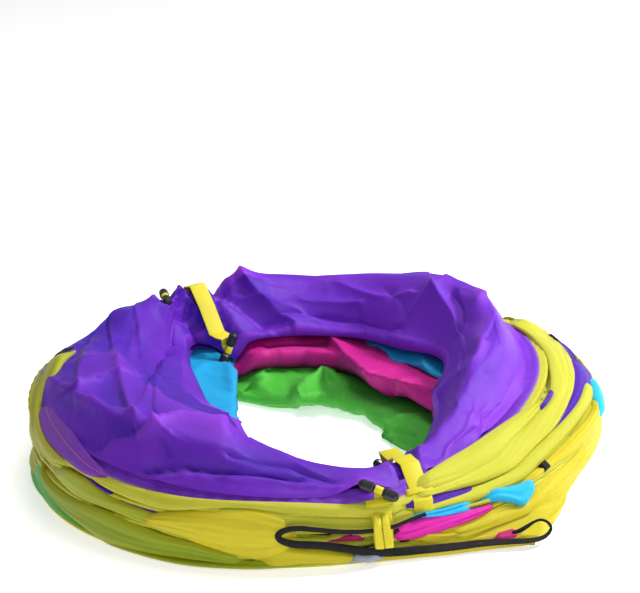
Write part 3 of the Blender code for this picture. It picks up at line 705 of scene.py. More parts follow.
# Folds of the top cloth: their line in the picture, rise, and reach on the line's left and right sides
TOP_FOLDS = (
    (((113, 347), (117, 371), (125, 394), (131, 414)), 0.0050, 0.027, 0.005),
    (((139, 331), (143, 355), (149, 383)), 0.0055, 0.024, 0.006),
    (((149, 383), (168, 396), (188, 408), (218, 426), (237, 434)), 0.0065, 0.007, 0.024),
    (((170, 347), (158, 363), (150, 380)), -0.0080, 0.005, 0.017),
    (((93, 402), (109, 410), (131, 416), (154, 428)), 0.0060, 0.006, 0.020),
    (((79, 387), (94, 381), (111, 375), (125, 377), (147, 379)), 0.0035, 0.017, 0.005),
    (((154, 428), (178, 424), (198, 428), (224, 433)), 0.0050, 0.006, 0.020),
    (((190, 305), (184, 325), (170, 347)), -0.0095, 0.007, 0.024),
    (((100, 452), (118, 440), (148, 431)), -0.0055, 0.020, 0.006),
    (((99, 446), (130, 437), (154, 430), (178, 424)), 0.0030, 0.005, 0.024),
    (((86, 346), (79, 367), (77, 386)), 0.0040, 0.020, 0.004),
    (((54, 382), (78, 388), (94, 383)), 0.0030, 0.004, 0.014),
    (((184, 405), (200, 411), (221, 430)), 0.0035, 0.004, 0.017),
    (((160, 439), (164, 448), (168, 460)), -0.0030, 0.007, 0.007),
    (((110, 345), (124, 338), (137, 352)), -0.0035, 0.008, 0.008),
    (((146, 475), (188, 471), (237, 473), (300, 479)), -0.0050, 0.006, 0.006),
    (((160, 484), (210, 479), (270, 482), (340, 492)), 0.0030, 0.006, 0.006),
    (((230, 455), (285, 464), (340, 484), (366, 497)), -0.0030, 0.006, 0.006),
    (((250, 442), (300, 464), (345, 487), (368, 498)), 0.0030, 0.010, 0.003),
    (((230, 268), (247, 286), (267, 309), (287, 325)), 0.0075, 0.027, 0.006),
    (((205, 302), (222, 306), (242, 314), (262, 326)), -0.0050, 0.017, 0.005),
    (((300, 301), (335, 303), (361, 303)), 0.0040, 0.008, 0.008),
    (((262, 322), (310, 316), (360, 322), (400, 330)), -0.0050, 0.008, 0.008),
    (((340, 284), (377, 294), (410, 291)), 0.0040, 0.005, 0.017),
    (((434, 285), (420, 302), (400, 325)), 0.0050, 0.017, 0.005),
    (((437, 285), (448, 303), (459, 325)), 0.0045, 0.004, 0.017),
    (((452, 292), (462, 306), (466, 320)), -0.0065, 0.008, 0.008),
    (((484, 294), (475, 311), (467, 335), (465, 350)), 0.0045, 0.005, 0.020),
    (((484, 342), (477, 358), (455, 382), (431, 411), (408, 435)), 0.0060, 0.005, 0.020),
    (((470, 352), (452, 372), (428, 396)), -0.0055, 0.008, 0.008),
    (((500, 345), (506, 372), (498, 400), (478, 430)), 0.0030, 0.024, 0.007),
    (((446, 455), (462, 436), (468, 418)), 0.0040, 0.004, 0.014),
    (((455, 458), (474, 446), (484, 452)), -0.0035, 0.006, 0.006),
    (((472, 460), (482, 440), (480, 425)), 0.0030, 0.006, 0.006),
    (((520, 345), (528, 372), (524, 400)), -0.0030, 0.006, 0.006),
    (((212, 290), (228, 280), (246, 282)), 0.0030, 0.010, 0.034),
    (((440, 284), (446, 284), (450, 292)), 0.0010, 0.014, 0.014),
    (((484, 300), (482, 306), (480, 312)), 0.0012, 0.007, 0.024),
    (((74, 352), (88, 334), (106, 318)), -0.0040, 0.016, 0.016),
    (((168, 300), (184, 304), (196, 318)), 0.0120, 0.034, 0.011),
    (((390, 292), (402, 300), (406, 318)), -0.0040, 0.010, 0.010),
    (((250, 300), (280, 306), (310, 318)), 0.0035, 0.005, 0.017),
)

# Folds of the inner cloth that the hole shows, by panel
INNER_FOLDS = {
    "magenta": (
        (((333, 340), (347, 354), (364, 366), (388, 379), (420, 388), (444, 394)), 0.0075, 0.018, 0.005),
        (((268, 347), (290, 345), (325, 342)), -0.0045, 0.006, 0.006),
        (((246, 358), (268, 351), (300, 349), (342, 357), (376, 374)), 0.0045, 0.005, 0.014),
        (((240, 345), (262, 338), (292, 336)), 0.0035, 0.006, 0.010),
        (((396, 410), (408, 394), (420, 388)), 0.0050, 0.004, 0.012),
    ),
    "green": (
        (((250, 384), (262, 373), (278, 366), (296, 361)), 0.0060, 0.016, 0.003),
        (((254, 381), (272, 374), (300, 371), (321, 371)), 0.0050, 0.004, 0.012),
        (((295, 402), (293, 392), (303, 383), (317, 377), (325, 371), (335, 373)), 0.0085, 0.003, 0.020),
        (((308, 400), (345, 396), (382, 406), (416, 421)), 0.0055, 0.020, 0.018),
        (((330, 384), (362, 392), (396, 402)), -0.0035, 0.008, 0.008),
        (((380, 428), (396, 432), (412, 436)), -0.0030, 0.006, 0.010),
    ),
    "cyan": (
        (((430, 362), (436, 374), (444, 390)), 0.0040, 0.004, 0.010),
        (((192, 369), (204, 364), (220, 366), (236, 374)), 0.0030, 0.004, 0.012),
        (((205, 340), (214, 352), (222, 366), (228, 384)), 0.0025, 0.010, 0.004),
    ),
}

# The shape of one fold, and how far the ties draw the cloth
CREST_ROUND = 0.004
CREST_FALL = 1.6
CREST_LIFT = 0.10
CREST_END = 4
FOLD_GAIN = 1.35
INNER_GAIN = 1.5
INNER_LEAN = (0, 0, 0.6)
PICTURE_SCALE = 1155.0
FAR = 9.0e3
TIE_STEP = 0.004
TIE_SINK = 0.0036
TIE_SLOPE = 2.0
TIE_WIDTH = 0.030
TIE_REACH = 0.020
TIE_SPREAD = 0.014


def line_offsets(spots, line):
    """Each place's distance from a line in the picture, and on which side of it the place lies."""
    best = np.full(len(spots), FAR)
    side = np.ones(len(spots))
    for a, b in zip(line, line[1:]):
        step = b - a
        share = np.clip(((spots - a) @ step) / max(step @ step, 1e-9), 0, 1)
        gap = spots - (a + share[:, None] * step)
        size = np.linalg.norm(gap, axis=1)
        near = size < best
        best[near] = size[near]
        turn = step[0] * gap[:, 1] - step[1] * gap[:, 0]
        side[near] = np.where(turn[near] < 0, 1, -1)
    return best, side


def fold_rise(grid, folds):
    """How far folds traced in the picture push each point of a cloth out, with a crest on each line."""
    spots = picture_spots(grid.reshape(-1, 3))
    rise = np.zeros(len(spots))
    for line, height, left, right in folds:
        gap, side = line_offsets(spots, route(line, ROUTE_STEPS))
        gap = gap / PICTURE_SCALE / np.where(side > 0, left, right)
        crest = np.exp(-np.sqrt(gap * gap + CREST_ROUND) * CREST_FALL + CREST_LIFT)
        rise += FOLD_GAIN * height * np.where(gap < CREST_END, crest, 0)
    return rise.reshape(grid.shape[:2])[..., None]


def tie_envelope():
    """The upper side of the straps and toggles, as points on a coarse square raster."""
    points = []
    for side in SIDES:
        for kind in ("tie_strap", "toggle"):
            node = frame["nodes"][f"{side}_{kind}"]
            for polygon in node.data.polygons:
                points.append(node.matrix_world @ polygon.center)
                points += [node.matrix_world @ node.data.vertices[index].co for index in polygon.vertices]
    top = {}
    for x, y, z in points:
        key = (round(x / TIE_STEP), round(y / TIE_STEP))
        if key not in top or top[key][2] < z:
            top[key] = (x, y, z)
    return np.array(list(top.values()))


def pressed(grid):
    """The cloth drawn to the ties that cross it: held down under them, and raised where it hangs."""
    flat = grid.reshape(-1, 3).copy()
    plain = flat.copy()
    lift_by = np.zeros(len(flat))
    crossing = []
    for x, y, z in tie_envelope():
        gap = np.hypot(plain[:, 0] - x, plain[:, 1] - y)
        nearest = np.argmin(gap)
        over = z - TIE_SINK - plain[nearest, 2]
        if gap[nearest] > TIE_STEP or abs(over) > TIE_REACH:
            continue
        crossing.append((gap, z))
        lift_by = np.maximum(lift_by, over * np.exp(-(gap / TIE_SPREAD) ** 2))
    flat[:, 2] += lift_by
    for gap, z in crossing:
        limit = z - TIE_SINK + TIE_SLOPE * np.maximum(0, gap - TIE_STEP)
        flat[:, 2] = np.where(gap < TIE_WIDTH, np.minimum(flat[:, 2], limit), flat[:, 2])
    return flat.reshape(grid.shape)


# How a panel is folded in: its seam, its crease and the tuck in its lower leg
PANEL_INSET = 0.006
SEAM_SHARE = 0.08
TUCKS = ((0, 0.78, 8, -1), (0.71, 0.16, 7, 0), (0.23, 1, 13, 1))
TUCK_PASS = 0.0011
TUCK_START = 0.1
TUCK_END = 0.82
UPPER_STEPS = 30
TOP_STEPS = 90
SLACK_REACH = 0.0030
SLACK_HEIGHT = 0.0018
SLACK_WAVES = 9
SLACK_SCALE = 2.4
SLACK_COUNTS = (3, 10)
SLACK_LEAN = 30
SLACK_FALL = 1.6
SLACK_ROUND = 0.01
SLACK_SIZES = (0.4, 1)
SLACK_START = 0.15
SLACK_RUN = 0.7
SLACK_REACH_SEED = 40
SLACK_HEIGHT_SEED = 50
# Painted light on the top cloth: a base share of lighter purple, more on the side facing the key lamp and on
# fold crests, less in hollows; inner panels get one even share
CREST_PAINTED_LIGHT = 0.016
LIT_SIDE_TURN = 25
INNER_TINT = 0.30
TOP_PAINTED_LIGHT = 0.10
SIDE_PAINTED_LIGHT = 0.42
INNER_RUN = 0.5
LOOK_OUT = 0.7
LOOK_UP = (0, 0, 0.3)


def panel_leg(level, panel, share):
    """Reach and height of one leg of a folded panel, from its seam (share 0) to the crease (share 1)."""
    angle = TURNS[:, None]
    start = pile_start(angle)
    seam = seam_of(level, angle, TAPE_DEPTH - PANEL_INSET)
    reach = start - (start - crease_reach(panel, angle) - PANEL_INSET) * share
    height = level_height(level, reach, angle)
    run = smooth(share / SEAM_SHARE)
    return seam[0] + (reach - seam[0]) * run, seam[1] + (height - seam[1]) * run


def slack(seed, share, depth):
    """Waves of the inner cloth, which grow from the seam to the crease."""
    angle = TURNS[:, None]
    draw = np.random.default_rng(seed)
    total = 0 * angle * share
    for _ in range(SLACK_WAVES):
        count = draw.integers(*SLACK_COUNTS)
        lean = draw.uniform(-SLACK_LEAN, SLACK_LEAN)
        phase = draw.uniform(0, 360)
        wave = np.sin(np.radians(count * (angle + lean * share) + phase))
        ridge = 1 - SLACK_FALL * np.sqrt(np.abs(wave) + SLACK_ROUND)
        total = total + ridge * draw.uniform(*SLACK_SIZES)
    return depth * total / SLACK_SCALE * smooth((share - SLACK_START) / SLACK_RUN)


def panel_grid(panel):
    """A panel's points, each column's share from seam to crease, and how many columns its lower leg has."""
    top = panel == len(PANELS) - 1
    lower_share = np.concatenate([np.linspace(first, last, count) for first, last, count, _ in TUCKS])
    side = np.repeat([values[3] for values in TUCKS], [values[2] for values in TUCKS])
    swell = smooth(lower_share / TUCK_START) * (1 - smooth((lower_share - TUCK_END) / (1 - TUCK_END)))
    tuck = TUCK_PASS * side * swell
    upper_share = np.linspace(1, 0, TOP_STEPS if top else UPPER_STEPS)
    low_reach, low_height = panel_leg(2 * panel, panel, lower_share)
    low_height = low_height + tuck
    reach, height = panel_leg(2 * panel + 1, panel, upper_share)
    tip = (low_height[:, -1:] + height[:, :1]) / 2
    reach = np.concatenate((low_reach, crease_reach(panel, TURNS[:, None]), reach), 1)
    height = np.concatenate((low_height, tip, height), 1)
    share = np.concatenate((lower_share, [1.0], upper_share))[None, :]
    if not top:
        reach = reach + slack(SLACK_REACH_SEED + panel, share, SLACK_REACH)
        height = height + slack(SLACK_HEIGHT_SEED + panel, share, SLACK_HEIGHT)
    return to_points(TURNS[:, None], reach, height), share, len(lower_share) + 1


def build_panel(panel):
    """One length of cloth between two hoops, folded in, with its traced folds."""
    name = PANELS[panel]
    look = name.split("_")[0]
    grid, share, leg = panel_grid(panel)
    if name in INNER_FOLDS:
        push = (unit(grid * (-1, -1, 0)) + INNER_LEAN) * smooth(share / INNER_RUN)[..., None]
        grid = grid + INNER_GAIN * fold_rise(grid, INNER_FOLDS[name]) * push
    grid[..., 2] = np.maximum(grid[..., 2], FLOOR_CLEARANCE)
    painted_light_and_hem_share = np.full(grid.shape[:2], INNER_TINT)
    if panel == len(PANELS) - 1:
        plain = grid.copy()
        cloth = grid[:, leg:]
        cloth = cloth + fold_rise(cloth, TOP_FOLDS) * (grid_normals(cloth, True) * LOOK_OUT + LOOK_UP)
        grid[:, leg:] = pressed(settled(cloth))
        rise = ((grid - plain) * (grid_normals(plain) * LOOK_OUT + LOOK_UP)).sum(-1)
        # Painted light: lighter purple towards the key lamp's side and on fold crests, darker in hollows and
        # where the ties press the cloth down
        lit = 0.5 + 0.5 * np.cos(np.radians(TURNS[:, None] - LIT_SIDE_TURN))
        painted_light_and_hem_share = np.clip(TOP_PAINTED_LIGHT + SIDE_PAINTED_LIGHT * lit + rise / CREST_PAINTED_LIGHT, 0, 1)
    run = run_along(grid, 1)
    item = grid_object(f"cloth_{name}", grid, True, look, painted_light_and_hem_share)
    across_joint(item, panel, run / run[:, -1:])
    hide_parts(f"panel_{name}")
    return item


# The cloth simulation of the top cloth, on every second point
SETTLE_FRAMES = 24
SETTLE_HOLD = 0.03
SETTLE_SHARE = 0.30
SETTLE_MOST = 0.012
BROAD_REACH = 24
BROAD_MEAN = (16, 10)
BROAD_SHARE = 0.95
SETTLE_GRAVITY = 0.3
SETTLE = {"quality": 5, "mass": 0.15, "tension_stiffness": 12, "compression_stiffness": 12,
          "shear_stiffness": 4, "bending_stiffness": 0.10, "vertex_group_mass": "held", "shrink_min": -0.07}


def simulated(coarse):
    """How far each point of a sheet moves when it is slack and held at its seam and its fold."""
    rows, columns = coarse.shape[:2]
    item = grid_object("slack_cloth", coarse, True, "purple")
    held = item.vertex_groups.new(name="held")
    for column in range(columns):
        weight = 1.0 if column < 1 or column > columns - 3 else SETTLE_HOLD
        held.add([row * columns + column for row in range(rows)], weight, "REPLACE")
    modifier = item.modifiers.new("slack", "CLOTH")
    for name, value in SETTLE.items():
        setattr(modifier.settings, name, value)
    modifier.settings.effector_weights.gravity = SETTLE_GRAVITY
    modifier.point_cache.frame_end = SETTLE_FRAMES
    scene = bpy.context.scene
    for moment in range(1, SETTLE_FRAMES + 1):
        scene.frame_set(moment)
    graph = bpy.context.evaluated_depsgraph_get()
    mesh = item.evaluated_get(graph).data
    points = np.empty(len(mesh.vertices) * 3)
    mesh.vertices.foreach_get("co", points)
    scene.frame_set(1)
    bpy.data.objects.remove(item)
    return points.reshape(coarse.shape) - coarse


def finer(values, count, axis):
    """Values between every second place of a grid's axis, filled in on straight lines."""
    places = np.minimum(np.arange(count) / 2, values.shape[axis] - 1)
    low = np.minimum(places.astype(int), values.shape[axis] - 2)
    part = (places - low).reshape([-1 if number == axis else 1 for number in range(values.ndim)])
    return np.take(values, low, axis) * (1 - part) + np.take(values, low + 1, axis) * part


def settled(grid):
    """A short cloth simulation, in which slack cloth finds its own creases between seam and fold."""
    moved = simulated(grid[::2, ::2])
    wide = np.concatenate((moved[-BROAD_REACH:], moved, moved[:BROAD_REACH]))
    moved = moved - BROAD_SHARE * eased(wide, 1, *BROAD_MEAN)[BROAD_REACH:-BROAD_REACH]
    moved = finer(np.concatenate((moved, moved[:1])), grid.shape[0], 0)
    moved = finer(moved, grid.shape[1], 1)
    size = np.linalg.norm(moved, axis=-1, keepdims=True)
    return grid + SETTLE_SHARE * moved * np.minimum(1, SETTLE_MOST / np.maximum(size, 1e-9))


# A sewn tape: points across its leaf and round the wire, and how thick and puckered its leaf is
LEAF_STEPS = 9
SLEEVE_STEPS = 11
LEAF_START = 0.002
LEAF_HALF = 0.0012
LEAF_WAVE = 0.3
LEAF_WAVES = 900
PUCKER = 0.00035
PUCKERS = 97
TINT_START = 0.0045
TINT_RUN = 0.002


def build_tape(hoop):
    """A sewn tape: a soft tube round the wire and a flat leaf that runs in to the cloth."""
    sweep = np.radians(np.linspace(90, 270, SLEEVE_STEPS))
    pucker = PUCKER * np.sin(np.radians(TURNS * PUCKERS))[:, None]
    leaf = np.linspace(LEAF_START, TAPE_DEPTH, LEAF_STEPS)
    swell = LEAF_HALF * (1 + LEAF_WAVE * np.sin(leaf * LEAF_WAVES))
    along = np.concatenate((leaf[::-1], TAPE_RADIUS * np.cos(sweep), leaf))
    above = np.concatenate((swell[::-1], TAPE_RADIUS * np.sin(sweep), -swell))
    reach, height = on_band(hoop, TURNS[:, None], along[None, :], above[None, :] + pucker)
    if hoop == 0:
        height = np.maximum(height, 0)
    top = hoop == HOOPS - 1
    look = "tape_top" if top else "tape"
    painted_light_and_hem_share = smooth((along - TINT_START) / TINT_RUN) * top
    grid = to_points(TURNS[:, None], reach, height)
    item = grid_object(f"tape_{hoop}", grid, True, look, np.tile(painted_light_and_hem_share, (STATIONS, 1)))
    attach(item, f"turn_{hoop}")
    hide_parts(f"casing_{hoop}")
    return item


# Folds and hems that show on the outside: look, the panel's two hoops or the hoop or body that they go with,
# how far they bulge, how far they are raised, their share of painted light and shade (the cloth's lit or
# shaded second colour), and their upper and lower edges in the picture
PATCHES = {
    "fold_green_left": ("green", (0, 1), 0.0020, -0.0005, 0,
        ((40, 455), (41, 470), (51, 491), (64, 508), (78, 521), (98, 536)),
        ((37, 455), (34.5, 468), (37, 485), (45, 500), (59, 514), (80, 526), (98, 538))),
    # The yellow folds at the left are tinted olive: painted shade, as the key lamp stands to the right
    "fold_olive_bottom": ("yellow", (0, 1), 0.0015, -0.0003, 0.95,
        ((74, 518), (101, 536), (130, 546), (165, 553), (210, 558), (262, 561), (330, 556), (400, 552)),
        ((74, 521), (98, 538), (117, 547), (154, 558), (184, 564), (215, 567), (262, 568), (330, 564),
         (400, 555))),
    "fold_olive_long": ("yellow", (0, 1), 0.0045, 0.0010, 0.85,
        ((38, 452), (50, 478), (67, 493), (87, 502), (108, 510), (139, 524), (161, 533), (192, 541),
         (245, 556)),
        ((39, 470), (51, 492), (65, 510), (78, 522), (101, 539), (120, 547), (160, 556), (200, 561),
         (250, 566))),
    "fold_olive_upper": ("yellow", (1, 2), 0.0035, 0.0014, 0.7,
        ((57, 464), (86, 478), (108, 494), (129, 504), (151, 512), (180, 524), (215, 540)),
        ((46, 459), (56, 475), (72, 492), (87, 501), (108, 509), (139, 522), (170, 535), (205, 544))),
    # Tape tinted olive: painted shade on the left side
    "hem_left_wide": ("tape", 6, 0.0035, 0.0016, 0.45,
        ((75, 348), (60, 368), (53, 382), (44, 397), (40.5, 417), (44, 432), (53, 447), (70, 463),
         (84, 472)),
        ((73, 348), (54, 361), (42, 377), (35, 392), (34, 405), (32, 420), (32, 436), (39, 452),
         (60, 468))),
    "sliver_purple_left": ("purple", (4, 5), 0.0010, -0.0008, 0,
        ((79, 470), (101, 487), (129, 501), (150, 509), (172, 511)),
        ((79, 472), (101, 492), (129, 506), (150, 514), (172, 513))),
    "hem_front_low": ("tape", 4, 0.0022, 0.0006, 0.1,
        ((205, 508), (262, 510), (300, 515), (330, 517), (371, 517), (392, 513), (425, 505)),
        ((205, 514), (262, 528), (300, 527), (330, 530), (371, 530), (398, 524), (430, 514))),
    "hem_front": ("tape", 6, 0.0016, 0.0016, 0,
        ((82, 470), (100, 478), (114, 481.5), (150, 490.5), (184, 497), (215, 500), (245, 501.5),
         (300, 503), (371, 505), (392, 503), (412, 497)),
        ((80, 471), (107, 488), (139, 502), (168, 510), (200, 509.5), (240, 508.5), (300, 515),
         (330, 517), (371, 517), (392, 513), (412, 508))),
    "hem_purple_strip": ("hem", 6, 0.0016, 0.0020, 0,
        ((48, 398), (55, 408), (62, 417), (72, 430), (83, 447), (94, 460), (112, 478)),
        ((44, 397), (40.5, 417), (43.5, 432), (53, 447), (70, 463), (87, 475), (114, 481))),
    "pocket_cloth": ("yellow", (1, 2), 0.0060, 0.0016, 0.05,
        ((136, 513), (152, 513), (170, 511), (200, 510), (240, 509), (262, 511), (285, 517), (300, 524)),
        ((136, 515), (156, 527), (180, 536), (204, 545), (240, 556), (262, 558), (285, 552), (300, 548))),
    "slit_inside": ("binding", (1, 2), 0.0004, -0.0030, 0,
        ((284, 531), (300, 528), (330, 531), (371, 532), (398, 526), (425, 517), (455, 520), (500, 530)),
        ((284, 542), (300, 545), (330, 548), (371, 553), (392, 553), (440, 549), (484, 543), (500, 541))),
    # Tinted olive: painted shade inside the slit
    "slit_lining": ("yellow", (1, 2), 0.0010, -0.0018, 0.9,
        ((284, 535), (300, 534), (330, 536), (371, 536), (400, 531)),
        ((284, 541), (300, 542), (330, 543), (371, 544), (400, 544))),
    "fold_magenta_thin": ("magenta", (2, 3), 0.0016, -0.0004, 0,
        ((318, 541), (341, 536.5), (356, 534), (373, 533)),
        ((318, 543), (341, 542), (356, 541), (373, 541))),
    "lower_cloth": ("yellow", (0, 1), 0.0030, 0.0010, 0.1,
        ((255, 556), (282, 545), (300, 547), (330, 550), (371, 555), (392, 554), (443, 550),
         (490, 545), (535, 542)),
        ((255, 566), (282, 566), (300, 564), (330, 563), (371, 561), (392, 559), (443, 554),
         (490, 548), (535, 543))),
    "fold_right_low": ("yellow", (1, 2), 0.0035, 0.0006, 0.05,
        ((410, 520), (450, 524), (486, 513), (505, 503), (525, 500), (545, 478), (566, 466), (588, 448)),
        ((410, 546), (450, 545), (486, 541), (510, 533), (530, 528), (548, 530), (556, 520), (566, 500))),
    "fold_right_end": ("yellow", (1, 2), 0.0035, 0.0012, 0,
        ((500, 505), (525, 498), (550, 478), (575, 455), (592, 428)),
        ((520, 520), (545, 517), (560, 503), (568, 490), (590, 452))),
    # Tinted bright pink: painted light on the magenta fold at the front
    "fold_magenta": ("magenta", (2, 3), 0.0040, 0.0014, 0.9,
        ((384, 527), (400, 521), (430, 514), (455, 512), (478, 508), (500, 501)),
        ((386, 541), (405, 540), (430, 535), (455, 527), (478, 517), (502, 503))),
    "fold_cyan_roll": ("cyan", (3, 4), 0.0045, 0.0020, 0,
        ((398, 522), (420, 512), (440, 508), (458, 503), (471, 500), (478, 502)),
        ((398, 525), (420, 518), (440, 517), (458, 514), (471, 512), (478, 509))),
    "hem_fourth": ("tape", 3, 0.0020, 0.0012, 0.1,
        ((600, 385), (597, 405), (588, 424), (566, 443), (546, 463), (520, 484), (492, 497),
         (462, 506), (430, 512)),
        ((603, 402), (600, 416), (598, 424), (588, 442), (566, 462), (540, 479), (510, 496),
         (480, 505), (430, 516))),
    "fold_far_right": ("yellow", (2, 3), 0.0040, 0.0014, 0,
        ((590, 388), (594, 402), (588, 416), (570, 436), (552, 455), (530, 474), (515, 486)),
        ((597, 400), (598, 414), (592, 428), (586, 440), (572, 456), (550, 470), (520, 492))),
    "fold_cyan_far": ("cyan", (3, 4), 0.0030, 0.0016, 0,
        ((584, 372), (590, 388), (593, 400), (597, 414), (590, 427)),
        ((585, 372), (597, 383), (604, 398), (603, 413), (590, 428))),
    "hem_outer_thin": ("tape", 2, 0.0012, 0.0010, 0,
        ((563, 346), (577, 360), (588, 376), (594, 388)),
        ((568, 350), (581, 362), (593, 378), (600, 391))),
    "fold_purple_right": ("purple", (4, 5), 0.0014, 0.0012, 0,
        ((546, 333), (560, 348), (571, 368), (572, 386), (568, 402), (552, 428), (540, 440)),
        ((552, 334), (572, 352), (590, 374), (590, 392), (578, 410), (558, 430), (544, 444))),
    "hem_third": ("tape", 4, 0.0024, 0.0020, 0,
        ((585, 372), (581, 393), (573, 409), (556, 428), (533, 450), (512, 470), (486, 483),
         (462, 491), (440, 499), (412, 509)),
        ((588, 376), (592, 392), (590, 404), (582, 417), (566, 438), (546, 459), (520, 482),
         (490, 495), (461, 504), (440, 509), (412, 516))),
    "sliver_purple_low": ("purple", (4, 5), 0.0024, 0.0016, 0,
        ((398, 503), (412, 497), (440, 491), (455, 490.5), (471, 487.5), (484, 482)),
        ((402, 510), (420, 509), (440, 505.5), (455, 501), (468, 496), (486, 484))),
    "hem_second": ("tape", 5, 0.0026, 0.0036, 0,
        ((505, 318), (508, 325), (528, 338), (544, 356), (549, 371), (550, 386), (547, 400),
         (535, 416), (523, 429), (508, 444), (490, 461), (462, 476), (430, 490), (405, 499)),
        ((506, 318), (522, 322), (548, 336), (566, 355), (573, 371), (574, 384), (570, 400),
         (556, 427), (534, 449), (514, 469), (486, 482), (462, 489), (432, 496), (408, 502))),
    "sliver_purple_thin": ("purple", (5, 6), 0.0006, 0.0085, 0,
        ((533, 416), (540, 407), (546, 398), (550, 389)),
        ((534, 417), (542, 411), (549, 401), (551, 390))),
    "hem_top": ("tape", 6, 0.0026, 0.0046, 0,
        ((408, 484), (440, 464), (468, 448), (492, 432), (513, 418), (530, 408), (548, 397)),
        ((408, 496), (440, 488), (460, 481), (480, 469), (496, 458), (509, 444), (524, 429), (548, 399))),
    "flap_purple_back": ("purple", (5, 6), 0.0012, 0.0030, 0,
        ((518, 321), (524, 322), (531, 334)),
        ((519, 325), (524, 329), (531, 335))),
    "fold_orange_low": ("yellow", (1, 2), 0.0035, 0.0026, 0.12,
        ((440, 531), (465, 524), (490, 514), (515, 505), (540, 494)),
        ((440, 544), (465, 542), (490, 537), (512, 529), (540, 512))),
    "sliver_magenta_low": ("magenta", (2, 3), 0.0012, 0.0030, 0,
        ((491, 538), (505, 534), (515, 531), (520, 531)),
        ((491, 541), (505, 540), (515, 537), (520, 534))),
    "flap_cyan": ("cyan", (3, 4), 0.0030, 0.0050, 0,
        ((478, 498), (491, 491), (503, 489), (515, 486), (528, 481), (539, 478)),
        ((478, 500), (486, 503), (497, 502), (510, 504), (522, 505), (539, 479))),
    "tab": ("binding", 4, 0.0003, 0.0070, 0,
        ((535, 470), (539, 466), (544, 462)),
        ((541, 476), (545, 472), (550, 468))),
    "ribbon_fold": ("grey", 0, 0.0030, 0.0060, 0,
        ((343, 559), (356, 558), (371, 557), (390, 551)),
        ((345, 561), (358, 564), (372, 565), (391, 555))),
    "strap_left": ("strap", "front_lower_strap", 0.0008, 0.0108, 0,
        ((373, 505), (372.5, 520), (374, 540), (375.5, 556)),
        ((379, 505), (380, 520), (382.5, 540), (384, 556))),
    "strap_right": ("strap", "front_lower_strap", 0.0008, 0.0112, 0,
        ((379.5, 505), (381, 520), (383, 540), (384.5, 555)),
        ((385, 507), (388.5, 520), (391.5, 540), (392.5, 553.5))),
    "window_mouth": ("yellow", (1, 2), 0.0006, 0.0020, 0,
        ((512, 535), (520, 531), (528, 526), (536, 522), (544, 521), (550, 526)),
        ((512, 537), (520, 539), (528, 541), (536, 541), (544, 538), (550, 531))),
}

# Long folds along some of them: place across from 0 at the lower edge, depth, and width as a share
LONG_FOLDS = {
    "fold_olive_long": ((0.35, 0.0018, 0.10), (0.68, 0.0012, 0.08)),
    "fold_olive_upper": ((0.45, 0.0012, 0.10),),
    "pocket_cloth": ((0.20, 0.0014, 0.08), (0.36, 0.0012, 0.06)),
    "hem_left_wide": ((0.5, 0.0010, 0.10),),
    "fold_right_low": ((0.25, 0.0020, 0.05), (0.45, 0.0018, 0.05), (0.62, 0.0020, 0.05),
                       (0.8, 0.0016, 0.05)),
    "fold_right_end": ((0.3, 0.0022, 0.07), (0.6, 0.0020, 0.07)),
    "fold_orange_low": ((0.3, 0.0016, 0.06), (0.62, 0.0018, 0.06)),
    "fold_magenta": ((0.3, 0.0022, 0.08), (0.62, 0.0026, 0.08)),
    "fold_cyan_roll": ((0.45, 0.0026, 0.12),),
    "flap_cyan": ((0.5, 0.0020, 0.12),),
    "fold_far_right": ((0.4, 0.0020, 0.10), (0.75, 0.0014, 0.08)),
    "lower_cloth": ((0.5, 0.0014, 0.10),),
    "hem_top": ((0.28, 0.0014, 0.05), (0.60, 0.0010, 0.04)),
    "hem_second": ((0.30, 0.0008, 0.04),),
    "hem_third": ((0.35, 0.0010, 0.05),),
    "fold_purple_right": ((0.5, 0.0016, 0.12),),
}

# How a patch is made: its steps in pixels, metres per pixel, its waves, its folds, its ends and its edges
PATCH_STEP = 0.9
LEAST_ROWS = 24
LEAST_COLUMNS = 9
PIXEL = 0.00087
WAVE_ACROSS = 0.003
WAVE_SIZE = 0.0007
BULGE_POWER = 2.6
WANDER = 0.07
WANDER_LENGTH = 0.05
QUIVER = 0.04
QUIVER_LENGTH = 0.019
FADE = 0.55
FADE_LENGTH = 0.031
DEPTH_ROUNDS = 3
DEPTH_REACH = 5
NORMAL_REACH = 7
EDGE_PAINTED_LIGHT = 0.55
END_RUN = 0.018
END_SHARE = 0.3
END_DIP = 0.0020
TUCK_DIP = 0.0022
TUCK_REACH = 0.3
PATCH_CLEARANCE = 0.0008


def seed_of(name):
    return sum(map(ord, name))


